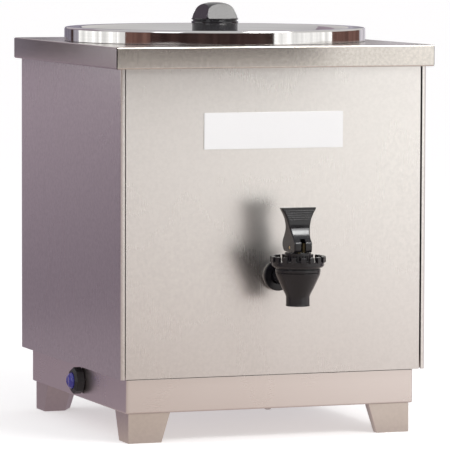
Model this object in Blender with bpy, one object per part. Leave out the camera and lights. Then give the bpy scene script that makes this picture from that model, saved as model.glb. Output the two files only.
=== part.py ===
"""Countertop nacho cheese dispenser: a heated steel cabinet with a lidded pot and a faucet in front.

Units are metres, +Z is up and +Y points to the back. The origin lies on the counter, at the middle
of the whole object's footprint. Each sub-part is one object; the empties carry what moves together.
"""

import math

import bmesh
import bpy
from mathutils import Matrix, Vector

MM = 0.001

# ---- Fits that many pieces share -------------------------------------------------------------
SHEET = 1.2 * MM  # steel sheet of the cabinet
SEAT_GAP = 0.3 * MM  # between two pieces that rest on each other
RUNNING_GAP = 0.4 * MM  # round a shaft that turns or slides

# ---- Cabinet ---------------------------------------------------------------------------------
CABINET_WIDTH = 306 * MM
CABINET_DEPTH = 310 * MM
CABINET_HEIGHT = 311.5 * MM  # from the plinth to the top of the deck
PLINTH_HEIGHT = 33.4 * MM
PLINTH_INSET = 7.3 * MM
PLINTH_BOTTOM_LIP = 18 * MM
PLINTH_TOP_LIP = 10 * MM
DECK_OVERHANG = 7.1 * MM
DECK_LIP = 20.6 * MM
DECK_EDGE_RADIUS = 1.4 * MM
CORNER_WRAP = 3 * MM  # side panel's bend that shows beside the front panel
PANEL_RETURN = 14 * MM
FLOOR_FLANGE = 12 * MM
LABEL_SIZE = (140 * MM, 0.8 * MM, 34.5 * MM)
LABEL_BELOW_DECK = 79.5 * MM  # its middle below the deck's top face
LABEL_X = -1.5 * MM

# ---- Feet ------------------------------------------------------------------------------------
FOOT_HEIGHT = 28.4 * MM
FOOT_INSET = 3.2 * MM
FOOT_TOP = (41.5 * MM, 39 * MM, 25 * MM, 10 * MM)  # its four straight walls; the fifth cuts the corner
FOOT_SOLE = (33 * MM, 27.5 * MM, 21.5 * MM, 8 * MM)
FOOT_SHEET = 1.5 * MM
FOOT_ACCESS_RADIUS = 6.2 * MM  # hole in the sole, through which the bolt is turned

# ---- Fasteners -------------------------------------------------------------------------------
FOOT_BOLT_RADIUS = 3 * MM
FOOT_BOLT_INSET = (18 * MM, 11.5 * MM)  # from the plinth's faces, along X and Y
PANEL_SCREW_RADIUS = 1.9 * MM
PANEL_SCREW_INSET = 9 * MM
COVER_SCREW_INSET = 10 * MM
HEAD_TO_SHANK = 1.85  # a pan head is this many times its shank across

# ---- Pot and its heat ------------------------------------------------------------------------
POT_SETBACK = 165 * MM  # pot's axis behind the front panel
POT_RADIUS = 130 * MM
POT_WALL = 1.0 * MM
POT_FLANGE = 10 * MM
POT_FLANGE_THICKNESS = 2 * MM
POT_CORNER = 5 * MM
POT_FLOOR_BELOW_FAUCET = 20 * MM
POT_STUD = (4 * MM, 19 * MM)  # radius and length
HEATER_PLATE = (95 * MM, 6 * MM)
CLAMP_BAR = (180 * MM, 24 * MM, 3 * MM)
CLAMP_NUT = (7.5 * MM, 6 * MM)
BAND_THICKNESS = 2 * MM
BAND_HEIGHT = 60 * MM
BAND_ABOVE_FAUCET = 32 * MM
BAND_SPLIT = 12 * MM
INSULATION_THICKNESS = 6 * MM
INSULATION_ABOVE_FAUCET = 27 * MM
INSULATION_BELOW_DECK = 10 * MM
CUTOFF = (8 * MM, 9 * MM)
CUTOFF_OFFSET = 50 * MM
THERMOSTAT_SIZE = (36 * MM, 34 * MM, 30 * MM)
THERMOSTAT_PLACE = (-78 * MM, 10 * MM)
GROMMET_HOLE = 9 * MM
GROMMET_PLACE = (-108 * MM, 40 * MM)

# ---- Lid, heights above the deck -------------------------------------------------------------
LID_RADIUS = 147.5 * MM
LID_HEIGHT = 13.5 * MM
LID_WALL = 1.0 * MM
LID_DISH_RADIUS = 126 * MM
LID_DISH_HEIGHT = 4.5 * MM
LID_RIM_INNER = 132 * MM
LID_EDGE_RADIUS = 2 * MM
LID_X = -1 * MM  # it is laid on by hand, a little off the pot's axis
KNOB_RADIUS = 23 * MM
KNOB_HEIGHT = 33 * MM
KNOB_DOME = 17 * MM
KNOB_FULLNESS = 0.86  # 1 makes the dome's outline an ellipse, and less makes it fuller
KNOB_FLAT_LOW = (17.2 * MM, 15.8 * MM)  # distance from the axis, and height below the knob's top
KNOB_FLAT_HIGH = (12.2 * MM, 2.4 * MM)
KNOB_SCREW_RADIUS = 3 * MM
KNOB_TURN = math.radians(7)  # the knob is screwed tight with its flats a little askew

# ---- Faucet: heights are from the middle of its shank ------------------------------------------
FAUCET_X = 2 * MM
FAUCET_HEIGHT = 94.5 * MM  # above the cabinet's bottom edge
FAUCET_PROJECTION = 56 * MM  # spout's axis in front of the front panel
SPOUT_TIP_Z = -24.1 * MM
SPOUT_RADIUS = 11.1 * MM
SPOUT_BORE = 7.8 * MM
SHANK_RADIUS = 7 * MM
BODY_TOP_Z = SHANK_RADIUS + 0.4 * MM  # the shank's root stays below the bonnet
BODY_RADIUS = 21.1 * MM
CHAMBER_RADIUS = 15.5 * MM
CHAMBER_FLOOR_RADIUS = 12.6 * MM
SEAT_Z = -7 * MM
THREAD_RADIUS = 18 * MM
THREAD_TOP_Z = 16 * MM
NECK_LENGTH = 28 * MM
SHANK_BORE = 5 * MM
SHANK_PAST_POT_WALL = 13 * MM
COLLAR_RADIUS = 14.5 * MM
COLLAR_THICKNESS = 4 * MM
GASKET_THICKNESS = 1.6 * MM
SHANK_NUT = (15 * MM, 8 * MM)
BONNET_RADIUS = 26 * MM
BONNET_FLANGE_RADIUS = 24.6 * MM
BONNET_NECK_RADIUS = 21.3 * MM
BONNET_NECK_TOP_Z = 12.1 * MM
BONNET_FLOOR_Z = 18.2 * MM
BONNET_CROWN_Z = 22.8 * MM
BONNET_TOP_Z = 26.2 * MM
BONNET_PAD_RADIUS = 12.5 * MM
CROWN_WALL = 3.4 * MM
CROWN_NOTCHES = 18
CROWN_NOTCH_WIDTH = 3.8 * MM
STEM_RADIUS = 3 * MM
STEM_TAB = (4.2 * MM, 4 * MM)  # flat end: its thickness, and its reach above the pin
CUP_RADIUS = 10.4 * MM
CUP_HEIGHT = 9 * MM
PIN_Z = 30.7 * MM
PIN_RADIUS = 1.6 * MM
HANDLE_TOP_Z = 68 * MM
HANDLE_SHOULDER_Z = 33.8 * MM
HANDLE_BASE_FRONT = -14.5 * MM
HANDLE_BASE_BACK = 19 * MM
HANDLE_CAM_RADIUS = 3 * MM
HANDLE_BASE_HALF = 8.8 * MM
HANDLE_TOP_HALF = 18 * MM
HANDLE_SLOT = 5 * MM
HANDLE_SLOT_TOP_Z = 39.5 * MM
HANDLE_SLOT_BACK = 7 * MM
HANDLE_TRAVEL = math.radians(35)

# ---- Push switch and power inlet ---------------------------------------------------------------
SWITCH_SETBACK = 142 * MM  # behind the front panel
SWITCH_HEIGHT = 17.6 * MM  # above the plinth's bottom edge
BEZEL_RADIUS = 13 * MM
BEZEL_THICKNESS = 10 * MM
BUTTON_RADIUS = 8 * MM
BUTTON_REACH = PLINTH_INSET + DECK_OVERHANG  # from the plinth's face to below the deck's edge
BUTTON_TRAVEL = 3 * MM
BUTTON_LENGTH = 12.4 * MM
HOUSING_RADIUS = 11 * MM
HOUSING_LENGTH = 28 * MM
HOUSING_NECK_RADIUS = 9.4 * MM
INLET_X = 78 * MM
INLET_POCKET = (24 * MM, 15 * MM, 16 * MM)  # across X, along Z, deep
INLET_FLANGE = (32 * MM, 22 * MM, 2 * MM)
INLET_BODY = (28 * MM, 19 * MM, 20 * MM)
INLET_PIN = (2 * MM, 5 * MM, 8 * MM)
INLET_PIN_SPACING = 7 * MM
LEAD_RADIUS = 1.5 * MM

# ---- Places worked out from the sizes above ------------------------------------------------------
HALF_WIDTH = CABINET_WIDTH / 2
FRONT_REACH = FAUCET_PROJECTION + BONNET_RADIUS
FRONT_Y = (FRONT_REACH - CABINET_DEPTH - DECK_OVERHANG) / 2  # front panel's outer face
BACK_Y = FRONT_Y + CABINET_DEPTH
MIDDLE_Y = (FRONT_Y + BACK_Y) / 2
PLINTH_Z = FOOT_HEIGHT
CABINET_Z = FOOT_HEIGHT + PLINTH_HEIGHT
DECK_Z = CABINET_Z + CABINET_HEIGHT
PANEL_TOP_Z = DECK_Z - SHEET - SEAT_GAP
PLINTH_HALF_X = HALF_WIDTH - PLINTH_INSET
PLINTH_HALF_Y = CABINET_DEPTH / 2 - PLINTH_INSET
POT_Y = FRONT_Y + POT_SETBACK
POT_OUTER = POT_RADIUS + POT_WALL
FAUCET_Y = FRONT_Y - FAUCET_PROJECTION
FAUCET_Z = CABINET_Z + FAUCET_HEIGHT
POT_FLOOR_Z = FAUCET_Z - POT_FLOOR_BELOW_FAUCET  # its inside
SWITCH_Y = FRONT_Y + SWITCH_SETBACK
SWITCH_Z = PLINTH_Z + SWITCH_HEIGHT
INLET_Z = PLINTH_Z + PLINTH_HEIGHT / 2
BOTTOM_COVER_Z = PLINTH_Z + SHEET + SEAT_GAP

ROUND = 48  # sides of the pot, the lid and what surrounds them
MEDIUM = 32  # sides of the faucet and the knob
SMALL = 12  # sides of screws and pins
ALONG_Y = (math.pi / 2, 0, 0)  # turns a part's own +Z to -Y
ALONG_X = (0, math.pi / 2, 0)  # turns a part's own +Z to +X


# ---- Helpers -------------------------------------------------------------------------------------
def clear_scene():
    for obj in list(bpy.data.objects):
        bpy.data.objects.remove(obj)


def material(name, colour, roughness, metallic=0.0):
    made = bpy.data.materials.new(name)
    made.use_nodes = True
    shader = made.node_tree.nodes["Principled BSDF"]
    shader.inputs["Base Color"].default_value = (*colour, 1)
    shader.inputs["Roughness"].default_value = roughness
    shader.inputs["Metallic"].default_value = metallic
    return made


def world_place(obj):
    """Where an unturned carrier stands, counted up through the carriers that hold it."""
    return obj.location + world_place(obj.parent) if obj else Vector()


def link(name, data, parent, place, turn=(0, 0, 0)):
    """An object at a world place, carried by an unturned empty."""
    obj = bpy.data.objects.new(name, data)
    bpy.context.scene.collection.objects.link(obj)
    obj.parent = parent
    obj.location = Vector(place) - world_place(parent)
    obj.rotation_euler = turn
    return obj


def carrier(name, place, parent=None):
    """An empty on a joint's axis, which carries the pieces that move with it."""
    return link(name, None, parent, place)


def part(name, mesh, finish, parent, place=(0, 0, 0), turn=(0, 0, 0), smooth=True):
    obj = link(name, mesh, parent, place, turn)
    mesh.materials.append(finish)
    if smooth:
        mesh.shade_smooth()
        mesh.set_sharp_from_angle(angle=math.radians(35))
    return obj


def cut(obj, mesh, place=(0, 0, 0), turn=(0, 0, 0), operation="DIFFERENCE"):
    """Cuts a helper's shape from obj, or joins or intersects it."""
    helper = link(obj.name + "_helper", mesh, None, place, turn)
    helper.hide_render = True
    helper.display_type = "WIRE"
    modifier = obj.modifiers.new(operation.title(), "BOOLEAN")
    modifier.operation = operation
    modifier.solver = "EXACT"
    modifier.object = helper
    return helper


def to_mesh(shape, name="shape"):
    mesh = bpy.data.meshes.new(name)
    shape.to_mesh(mesh)
    shape.free()
    return mesh


def add_box(shape, low, high):
    low, high = Vector(low), Vector(high)
    size, middle = high - low, (high + low) / 2
    matrix = Matrix.Translation(middle) @ Matrix.Diagonal((*size, 1))
    return bmesh.ops.create_cube(shape, size=1, matrix=matrix)["verts"]


def box(low, high):
    shape = bmesh.new()
    add_box(shape, low, high)
    return to_mesh(shape)


def centred_box(size):
    half = Vector(size) / 2
    return box(-half, half)


def rod(radius, low, high, sides=SMALL):
    """A cylinder along its own Z from low to high."""
    return turned([(0, low), (radius, low), (radius, high), (0, high)], sides)


def turned(profile, sides):
    """A solid of revolution about Z. A profile that starts on the axis ends there; any other closes."""
    shape = bmesh.new()
    points = [shape.verts.new((radius, 0, z)) for radius, z in profile]
    on_axis = profile[0][0] == 0
    ends = points[1:] if on_axis else points[1:] + points[:1]
    edges = [shape.edges.new(pair) for pair in zip(points, ends)]
    bmesh.ops.spin(shape, geom=points + edges, cent=(0, 0, 0), axis=(0, 0, 1),
                   angle=math.tau, steps=sides, use_merge=True)
    bmesh.ops.remove_doubles(shape, verts=shape.verts, dist=1e-6)
    bmesh.ops.recalc_face_normals(shape, faces=shape.faces)
    return to_mesh(shape)


def prism(outline, low, high, axis):
    """A flat outline pushed along X or Y from low to high. The outline holds (y, z) or (x, z) pairs."""
    shape = bmesh.new()
    place = (lambda a, b: (low, a, b)) if axis == "X" else (lambda a, b: (a, low, b))
    face = shape.faces.new([shape.verts.new(place(a, b)) for a, b in outline])
    pushed = bmesh.ops.extrude_face_region(shape, geom=[face])["geom"]
    step = Vector((high - low, 0, 0) if axis == "X" else (0, high - low, 0))
    moved = [item for item in pushed if isinstance(item, bmesh.types.BMVert)]
    bmesh.ops.translate(shape, verts=moved, vec=step)
    bmesh.ops.recalc_face_normals(shape, faces=shape.faces)
    return to_mesh(shape)


def loft(low_outline, low, high_outline, high):
    """A solid between two flat outlines with as many corners, both listed counter-clockwise."""
    shape = bmesh.new()
    rings = [[shape.verts.new((*point, z)) for point in outline]
             for outline, z in ((low_outline, low), (high_outline, high))]
    shape.faces.new(reversed(rings[0]))
    shape.faces.new(rings[1])
    for i in range(len(low_outline)):
        j = (i + 1) % len(low_outline)
        shape.faces.new((rings[0][i], rings[0][j], rings[1][j], rings[1][i]))
    return to_mesh(shape)


def inset(outline, distance):
    """A convex outline, listed counter-clockwise, with each side moved inwards."""
    moved = []
    for before, here, after in zip(outline[-1:] + outline[:-1], outline, outline[1:] + outline[:1]):
        arriving, leaving = (here - before).normalized(), (after - here).normalized()
        normals = [Vector((-along.y, along.x)) for along in (arriving, leaving)]
        moved.append(here + (normals[0] + normals[1]) * distance / (1 + normals[0].dot(normals[1])))
    return moved


def arc(centre, radius, start, end, steps):
    """Points on an arc, in degrees, with both ends."""
    angles = [math.radians(start + (end - start) * i / steps) for i in range(steps + 1)]
    return [(centre[0] + radius * math.cos(a), centre[1] + radius * math.sin(a)) for a in angles]


def screw_mesh(shank, length, head_height, sides=SMALL):
    """A pan-head screw: the head stands on z = 0 and the shank points down."""
    head = shank * HEAD_TO_SHANK
    return turned([(0, head_height), (head * 0.8, head_height), (head, head_height * 0.4),
                   (head, 0), (shank, 0), (shank, -length), (0, -length)], sides)


def add_nut(name, size, bore, finish, frame, place, turn=(0, 0, 0)):
    """A hexagonal nut that hangs down from its place along its own Z, with a round bore."""
    radius, thickness = size
    nut = part(name, rod(radius, -thickness, 0, 6), finish, frame, place, turn, smooth=False)
    cut(nut, rod(bore, -2 * thickness, thickness, MEDIUM), place, turn)


# ---- Cabinet ---------------------------------------------------------------------------------------
def add_front_panel(steel, frame):
    half = HALF_WIDTH - CORNER_WRAP - SEAT_GAP
    shape = bmesh.new()
    add_box(shape, (-half, FRONT_Y, CABINET_Z), (half, FRONT_Y + PANEL_RETURN, PANEL_TOP_Z))
    panel = part("front_panel", to_mesh(shape), steel, frame, smooth=False)
    inner = half - SHEET
    cut(panel, box((-inner, FRONT_Y + SHEET, 0), (inner, BACK_Y, DECK_Z)))
    cut(panel, rod(SHANK_RADIUS + RUNNING_GAP, -SHEET * 3, SHEET * 3, MEDIUM),
        (FAUCET_X, FRONT_Y + SHEET / 2, FAUCET_Z), ALONG_Y)


def side_panel_mesh(side):
    """A side panel with its bend round the front corner and its return at the back."""
    outer, inner = side * HALF_WIDTH, side * (HALF_WIDTH - SHEET)
    return_y = BACK_Y - SHEET - SEAT_GAP
    outline = [
        (outer, FRONT_Y), (side * (HALF_WIDTH - CORNER_WRAP), FRONT_Y),
        (side * (HALF_WIDTH - CORNER_WRAP), FRONT_Y + SHEET), (inner, FRONT_Y + SHEET),
        (inner, return_y - SHEET), (side * (HALF_WIDTH - PANEL_RETURN), return_y - SHEET),
        (side * (HALF_WIDTH - PANEL_RETURN), return_y), (inner, return_y),
        (inner, BACK_Y), (outer, BACK_Y),
    ]
    shape = bmesh.new()
    face = shape.faces.new([shape.verts.new((x, y, CABINET_Z)) for x, y in outline])
    pushed = bmesh.ops.extrude_face_region(shape, geom=[face])["geom"]
    moved = [item for item in pushed if isinstance(item, bmesh.types.BMVert)]
    bmesh.ops.translate(shape, verts=moved, vec=(0, 0, PANEL_TOP_Z - CABINET_Z))
    bmesh.ops.recalc_face_normals(shape, faces=shape.faces)
    return to_mesh(shape)


def back_screw_places():
    x = HALF_WIDTH - PANEL_SCREW_INSET
    low, high = CABINET_Z + FLOOR_FLANGE + PANEL_SCREW_INSET, DECK_Z - DECK_LIP - PANEL_SCREW_INSET
    return {"back_screw_low_left": (-x, low), "back_screw_low_right": (x, low),
            "back_screw_high_left": (-x, high), "back_screw_high_right": (x, high)}


def back_screw_holes():
    shape = bmesh.new()
    for x, z in back_screw_places().values():
        turn = Matrix.Rotation(math.pi / 2, 4, "X")
        bmesh.ops.create_cone(shape, cap_ends=True, segments=SMALL, depth=8 * SHEET,
                              radius1=PANEL_SCREW_RADIUS + SEAT_GAP,
                              radius2=PANEL_SCREW_RADIUS + SEAT_GAP,
                              matrix=Matrix.Translation((x, BACK_Y - SHEET, z)) @ turn)
    return to_mesh(shape)


def add_sides_and_back(steel, zinc, frame):
    for name, side in (("left_side_panel", -1), ("right_side_panel", 1)):
        cut(part(name, side_panel_mesh(side), steel, frame, smooth=False), back_screw_holes())
    half = HALF_WIDTH - SHEET - SEAT_GAP
    panel = part("back_panel", box((-half, BACK_Y - SHEET, CABINET_Z), (half, BACK_Y, PANEL_TOP_Z)),
                 steel, frame, smooth=False)
    cut(panel, back_screw_holes())
    for name, (x, z) in back_screw_places().items():
        part(name, screw_mesh(PANEL_SCREW_RADIUS, 5 * SHEET, 1.8 * MM), zinc, frame,
             (x, BACK_Y + SEAT_GAP, z), (-math.pi / 2, 0, 0))


def add_deck(steel, frame):
    outer_x, outer_y = HALF_WIDTH + DECK_OVERHANG, CABINET_DEPTH / 2 + DECK_OVERHANG
    shape = bmesh.new()
    add_box(shape, (-outer_x, MIDDLE_Y - outer_y, DECK_Z - DECK_LIP),
            (outer_x, MIDDLE_Y + outer_y, DECK_Z))
    edges = [e for e in shape.edges if all(v.co.z > DECK_Z - SHEET for v in e.verts)]
    bmesh.ops.bevel(shape, geom=edges, offset=DECK_EDGE_RADIUS, segments=2, profile=0.5, affect="EDGES")
    deck = part("deck", to_mesh(shape), steel, frame, smooth=False)
    cut(deck, box((-outer_x + SHEET, MIDDLE_Y - outer_y + SHEET, DECK_Z - DECK_LIP + SHEET),
                  (outer_x - SHEET, MIDDLE_Y + outer_y - SHEET, DECK_Z - SHEET)))
    inner_x, inner_y = HALF_WIDTH + SEAT_GAP, CABINET_DEPTH / 2 + SEAT_GAP
    cut(deck, box((-inner_x, MIDDLE_Y - inner_y, DECK_Z - DECK_LIP - SHEET),
                  (inner_x, MIDDLE_Y + inner_y, DECK_Z - DECK_LIP + 2 * SHEET)))
    cut(deck, rod(POT_OUTER + RUNNING_GAP, -4 * SHEET, 4 * SHEET, ROUND), (0, POT_Y, DECK_Z))


def add_floor_pan(steel, frame):
    half_x = HALF_WIDTH - SHEET - SEAT_GAP
    front = FRONT_Y + PANEL_RETURN + SEAT_GAP
    back = BACK_Y - 2 * (SHEET + SEAT_GAP) - SHEET
    pan = part("floor_pan", box((-half_x, front, CABINET_Z), (half_x, back, CABINET_Z + FLOOR_FLANGE)),
               steel, frame, smooth=False)
    cut(pan, box((-half_x + SHEET, front + SHEET, CABINET_Z + SHEET),
                 (half_x - SHEET, back - SHEET, DECK_Z)))
    x, y = GROMMET_PLACE
    cut(pan, rod(GROMMET_HOLE, -3 * SHEET, 3 * SHEET), (x, y, CABINET_Z))


def plinth_strip_mesh(half_length, along, inward):
    """One side of the plinth: a C of sheet with mitred ends, so that four make the frame."""
    low, high = PLINTH_Z, CABINET_Z - SEAT_GAP
    section = [(0, low), (PLINTH_BOTTOM_LIP, low), (PLINTH_BOTTOM_LIP, low + SHEET),
               (SHEET, low + SHEET), (SHEET, high - SHEET), (PLINTH_TOP_LIP, high - SHEET),
               (PLINTH_TOP_LIP, high), (0, high)]
    shape = bmesh.new()
    rings = []
    for end in (-1, 1):
        ring = []
        for depth, z in section:
            offset = end * (half_length - depth - SEAT_GAP / 2)
            point = along * offset + inward * depth
            ring.append(shape.verts.new((point.x, point.y, z)))
        rings.append(ring)
    count = len(section)
    for i in range(count):
        j = (i + 1) % count
        shape.faces.new((rings[0][i], rings[0][j], rings[1][j], rings[1][i]))
    shape.faces.new(rings[0])
    shape.faces.new(list(reversed(rings[1])))
    bmesh.ops.recalc_face_normals(shape, faces=shape.faces)
    return to_mesh(shape)


def foot_bolt_places():
    x, y = PLINTH_HALF_X - FOOT_BOLT_INSET[0], PLINTH_HALF_Y - FOOT_BOLT_INSET[1]
    return {"front_left": (-x, MIDDLE_Y - y), "front_right": (x, MIDDLE_Y - y),
            "back_left": (-x, MIDDLE_Y + y), "back_right": (x, MIDDLE_Y + y)}


def cover_screw_places():
    x, y = PLINTH_HALF_X - COVER_SCREW_INSET, PLINTH_HALF_Y - COVER_SCREW_INSET
    return {"cover_screw_left": (-x, MIDDLE_Y - y / 2), "cover_screw_right": (x, MIDDLE_Y - y / 2),
            "cover_screw_front": (0, MIDDLE_Y - y), "cover_screw_back": (0, MIDDLE_Y + y)}


def base_holes():
    """The holes for the foot bolts and the cover screws, up through lip and cover."""
    shape = bmesh.new()
    spots = [(p, FOOT_BOLT_RADIUS) for p in foot_bolt_places().values()]
    spots += [(p, PANEL_SCREW_RADIUS) for p in cover_screw_places().values()]
    for (x, y), radius in spots:
        bmesh.ops.create_cone(shape, cap_ends=True, segments=SMALL, depth=12 * SHEET,
                              radius1=radius + SEAT_GAP, radius2=radius + SEAT_GAP,
                              matrix=Matrix.Translation((x, y, PLINTH_Z)))
    return to_mesh(shape)


def add_plinth(steel, zinc, frame):
    across, back = Vector((1, 0, 0)), Vector((0, 1, 0))
    sides = {
        "plinth_front": (PLINTH_HALF_X, across, back, (0, MIDDLE_Y - PLINTH_HALF_Y, 0)),
        "plinth_back": (PLINTH_HALF_X, across, -back, (0, MIDDLE_Y + PLINTH_HALF_Y, 0)),
        "plinth_left": (PLINTH_HALF_Y, back, across, (-PLINTH_HALF_X, MIDDLE_Y, 0)),
        "plinth_right": (PLINTH_HALF_Y, back, -across, (PLINTH_HALF_X, MIDDLE_Y, 0)),
    }
    strips = {}
    for name, (half, along, inward, place) in sides.items():
        strips[name] = part(name, plinth_strip_mesh(half, along, inward), steel, frame, place,
                            smooth=False)
        cut(strips[name], base_holes())
    cut(strips["plinth_left"], rod(HOUSING_NECK_RADIUS + SEAT_GAP, -3 * SHEET, 3 * SHEET, MEDIUM),
        (-PLINTH_HALF_X, SWITCH_Y, SWITCH_Z), ALONG_X)
    width, height, _ = INLET_BODY
    cut(strips["plinth_back"], centred_box((width + 2 * SEAT_GAP, 6 * SHEET, height + 2 * SEAT_GAP)),
        (INLET_X, MIDDLE_Y + PLINTH_HALF_Y, INLET_Z))
    half_x, half_y = PLINTH_HALF_X - SHEET - SEAT_GAP, PLINTH_HALF_Y - SHEET - SEAT_GAP
    cover = part("bottom_cover", box((-half_x, MIDDLE_Y - half_y, BOTTOM_COVER_Z),
                                     (half_x, MIDDLE_Y + half_y, BOTTOM_COVER_Z + SHEET)),
                 steel, frame, smooth=False)
    cut(cover, base_holes())
    for name, (x, y) in cover_screw_places().items():
        part(name, screw_mesh(PANEL_SCREW_RADIUS, 4 * SHEET, 1.7 * MM), zinc, frame,
             (x, y, PLINTH_Z - SEAT_GAP), (math.pi, 0, 0))


def foot_outline(wide, side, narrow, end):
    """A foot's plan, counter-clockwise from its outer corner at (0, 0), with its inner corner cut off."""
    return [Vector(p) for p in ((0, 0), (wide, 0), (wide, end), (narrow, side), (0, side))]


def add_feet(steel, zinc, frame):
    top = FOOT_HEIGHT - SEAT_GAP
    t = FOOT_SHEET
    sole, crown = foot_outline(*FOOT_SOLE), foot_outline(*FOOT_TOP)
    for name, (bolt_x, bolt_y) in foot_bolt_places().items():
        side_x, side_y = (-1 if "left" in name else 1), (-1 if "front" in name else 1)
        corner = (side_x * (PLINTH_HALF_X - FOOT_INSET),
                  MIDDLE_Y + side_y * (PLINTH_HALF_Y - FOOT_INSET), 0)
        outside, inside = loft(sole, 0, crown, top), loft(inset(sole, t), t, inset(crown, t), top - t)
        for mesh in (outside, inside):
            mesh.transform(Matrix.Diagonal((-side_x, -side_y, 1, 1)))
            if side_x * side_y < 0:
                mesh.flip_normals()
        foot = part("foot_" + name, outside, steel, frame, corner, smooth=False)
        cut(foot, inside, corner)
        cut(foot, rod(FOOT_BOLT_RADIUS + SEAT_GAP, -3 * t, 3 * t), (bolt_x, bolt_y, FOOT_HEIGHT - t))
        cut(foot, rod(FOOT_ACCESS_RADIUS, -3 * t, 3 * t, SMALL), (bolt_x, bolt_y, 0))
        part("foot_bolt_" + name, screw_mesh(FOOT_BOLT_RADIUS, 8 * SHEET, 2.4 * MM), zinc, frame,
             (bolt_x, bolt_y, FOOT_HEIGHT - 2 * SEAT_GAP - t), (math.pi, 0, 0))


def add_label(white, frame):
    width, thickness, height = LABEL_SIZE
    part("label_plate", centred_box(LABEL_SIZE), white, frame,
         (LABEL_X, FRONT_Y - SEAT_GAP - thickness / 2, DECK_Z - LABEL_BELOW_DECK), smooth=False)


# ---- Pot and its heat ------------------------------------------------------------------------------
def pot_profile():
    """Half section of the pot from the stud under its floor, out over the flange and back inside."""
    floor = POT_FLOOR_Z - DECK_Z
    under = floor - POT_WALL
    stud_radius, stud_length = POT_STUD
    flange_top = SEAT_GAP + POT_FLANGE_THICKNESS
    outside = arc((POT_OUTER - POT_CORNER, under + POT_CORNER), POT_CORNER, -90, 0, 3)
    inside_radius = POT_CORNER - POT_WALL
    inside = arc((POT_RADIUS - inside_radius, floor + inside_radius), inside_radius, 0, -90, 3)
    return ([(0, under - stud_length), (stud_radius, under - stud_length), (stud_radius, under)]
            + outside
            + [(POT_OUTER, SEAT_GAP), (POT_OUTER + POT_FLANGE, SEAT_GAP),
               (POT_OUTER + POT_FLANGE, flange_top), (POT_RADIUS, flange_top)]
            + inside + [(0, floor)])


def add_pot(steel, frame):
    pot = part("food_pot", turned(pot_profile(), ROUND), steel, frame, (0, POT_Y, DECK_Z))
    cut(pot, rod(SHANK_RADIUS + RUNNING_GAP, -POT_CORNER, POT_CORNER, MEDIUM),
        (FAUCET_X, POT_Y - POT_OUTER, FAUCET_Z), ALONG_Y)


def add_heaters(aluminium, steel, mica, wool, frame):
    radius, thickness = HEATER_PLATE
    plate_top = POT_FLOOR_Z - POT_WALL - SEAT_GAP
    hole = POT_STUD[0] + RUNNING_GAP
    part("heater_plate", turned([(hole, -thickness), (radius, -thickness), (radius, 0), (hole, 0)], ROUND),
         aluminium, frame, (0, POT_Y, plate_top))
    bar_top = plate_top - thickness - SEAT_GAP
    bar = part("clamp_bar", centred_box(CLAMP_BAR), steel, frame,
               (0, POT_Y, bar_top - CLAMP_BAR[2] / 2), smooth=False)
    cut(bar, rod(hole, -CLAMP_BAR[2], CLAMP_BAR[2]), (0, POT_Y, bar_top - CLAMP_BAR[2] / 2))
    add_nut("clamp_nut", CLAMP_NUT, hole, steel, frame, (0, POT_Y, bar_top - CLAMP_BAR[2] - SEAT_GAP))
    cut_radius, cut_height = CUTOFF
    part("thermal_cutoff", rod(cut_radius, -cut_height, 0), mica, frame,
         (0, POT_Y + CUTOFF_OFFSET, bar_top))
    inner = POT_OUTER + SEAT_GAP
    outer = inner + BAND_THICKNESS
    band = part("heater_band", turned([(inner, 0), (outer, 0), (outer, BAND_HEIGHT), (inner, BAND_HEIGHT)],
                                      ROUND),
                steel, frame, (0, POT_Y, FAUCET_Z + BAND_ABOVE_FAUCET))
    cut(band, centred_box((BAND_SPLIT, 4 * BAND_SPLIT, 3 * BAND_HEIGHT)),
        (0, POT_Y + outer, FAUCET_Z + BAND_ABOVE_FAUCET))
    wool_inner = outer + RUNNING_GAP
    wool_outer = wool_inner + INSULATION_THICKNESS
    low, high = FAUCET_Z + INSULATION_ABOVE_FAUCET, DECK_Z - INSULATION_BELOW_DECK
    part("insulation", turned([(wool_inner, low), (wool_outer, low), (wool_outer, high), (wool_inner, high)],
                              ROUND),
         wool, frame, (0, POT_Y, 0))


def add_thermostat(phenolic, frame):
    x, y = THERMOSTAT_PLACE
    width, depth, height = THERMOSTAT_SIZE
    floor = CABINET_Z + SHEET + SEAT_GAP
    part("thermostat", box((x - width / 2, y - depth / 2, floor),
                           (x + width / 2, y + depth / 2, floor + height)),
         phenolic, frame, smooth=False)


# ---- Lid -------------------------------------------------------------------------------------------
def lid_profile():
    """Half section of the lid: a dish, a flat rim and a skirt down to the deck, with a screw hole."""
    hole = KNOB_SCREW_RADIUS + SEAT_GAP
    r, w = LID_EDGE_RADIUS, LID_WALL
    rim, dish = LID_HEIGHT, LID_DISH_HEIGHT
    outer = arc((LID_RADIUS - r, rim - r), r, 90, 0, 3)
    inner = arc((LID_RADIUS - r, rim - r), r - w, 0, 90, 2)
    top = [(hole, dish), (LID_DISH_RADIUS, dish), (LID_RIM_INNER - r, rim - r / 2), (LID_RIM_INNER, rim)]
    under = [(LID_RIM_INNER + w / 2, rim - w), (LID_RIM_INNER - r + w, rim - r / 2 - w / 2),
             (LID_DISH_RADIUS + w / 2, dish - w), (hole, dish - w)]
    foot = SEAT_GAP + 0.1 * MM
    return top + outer + [(LID_RADIUS, foot), (LID_RADIUS - w, foot)] + inner + under


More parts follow.
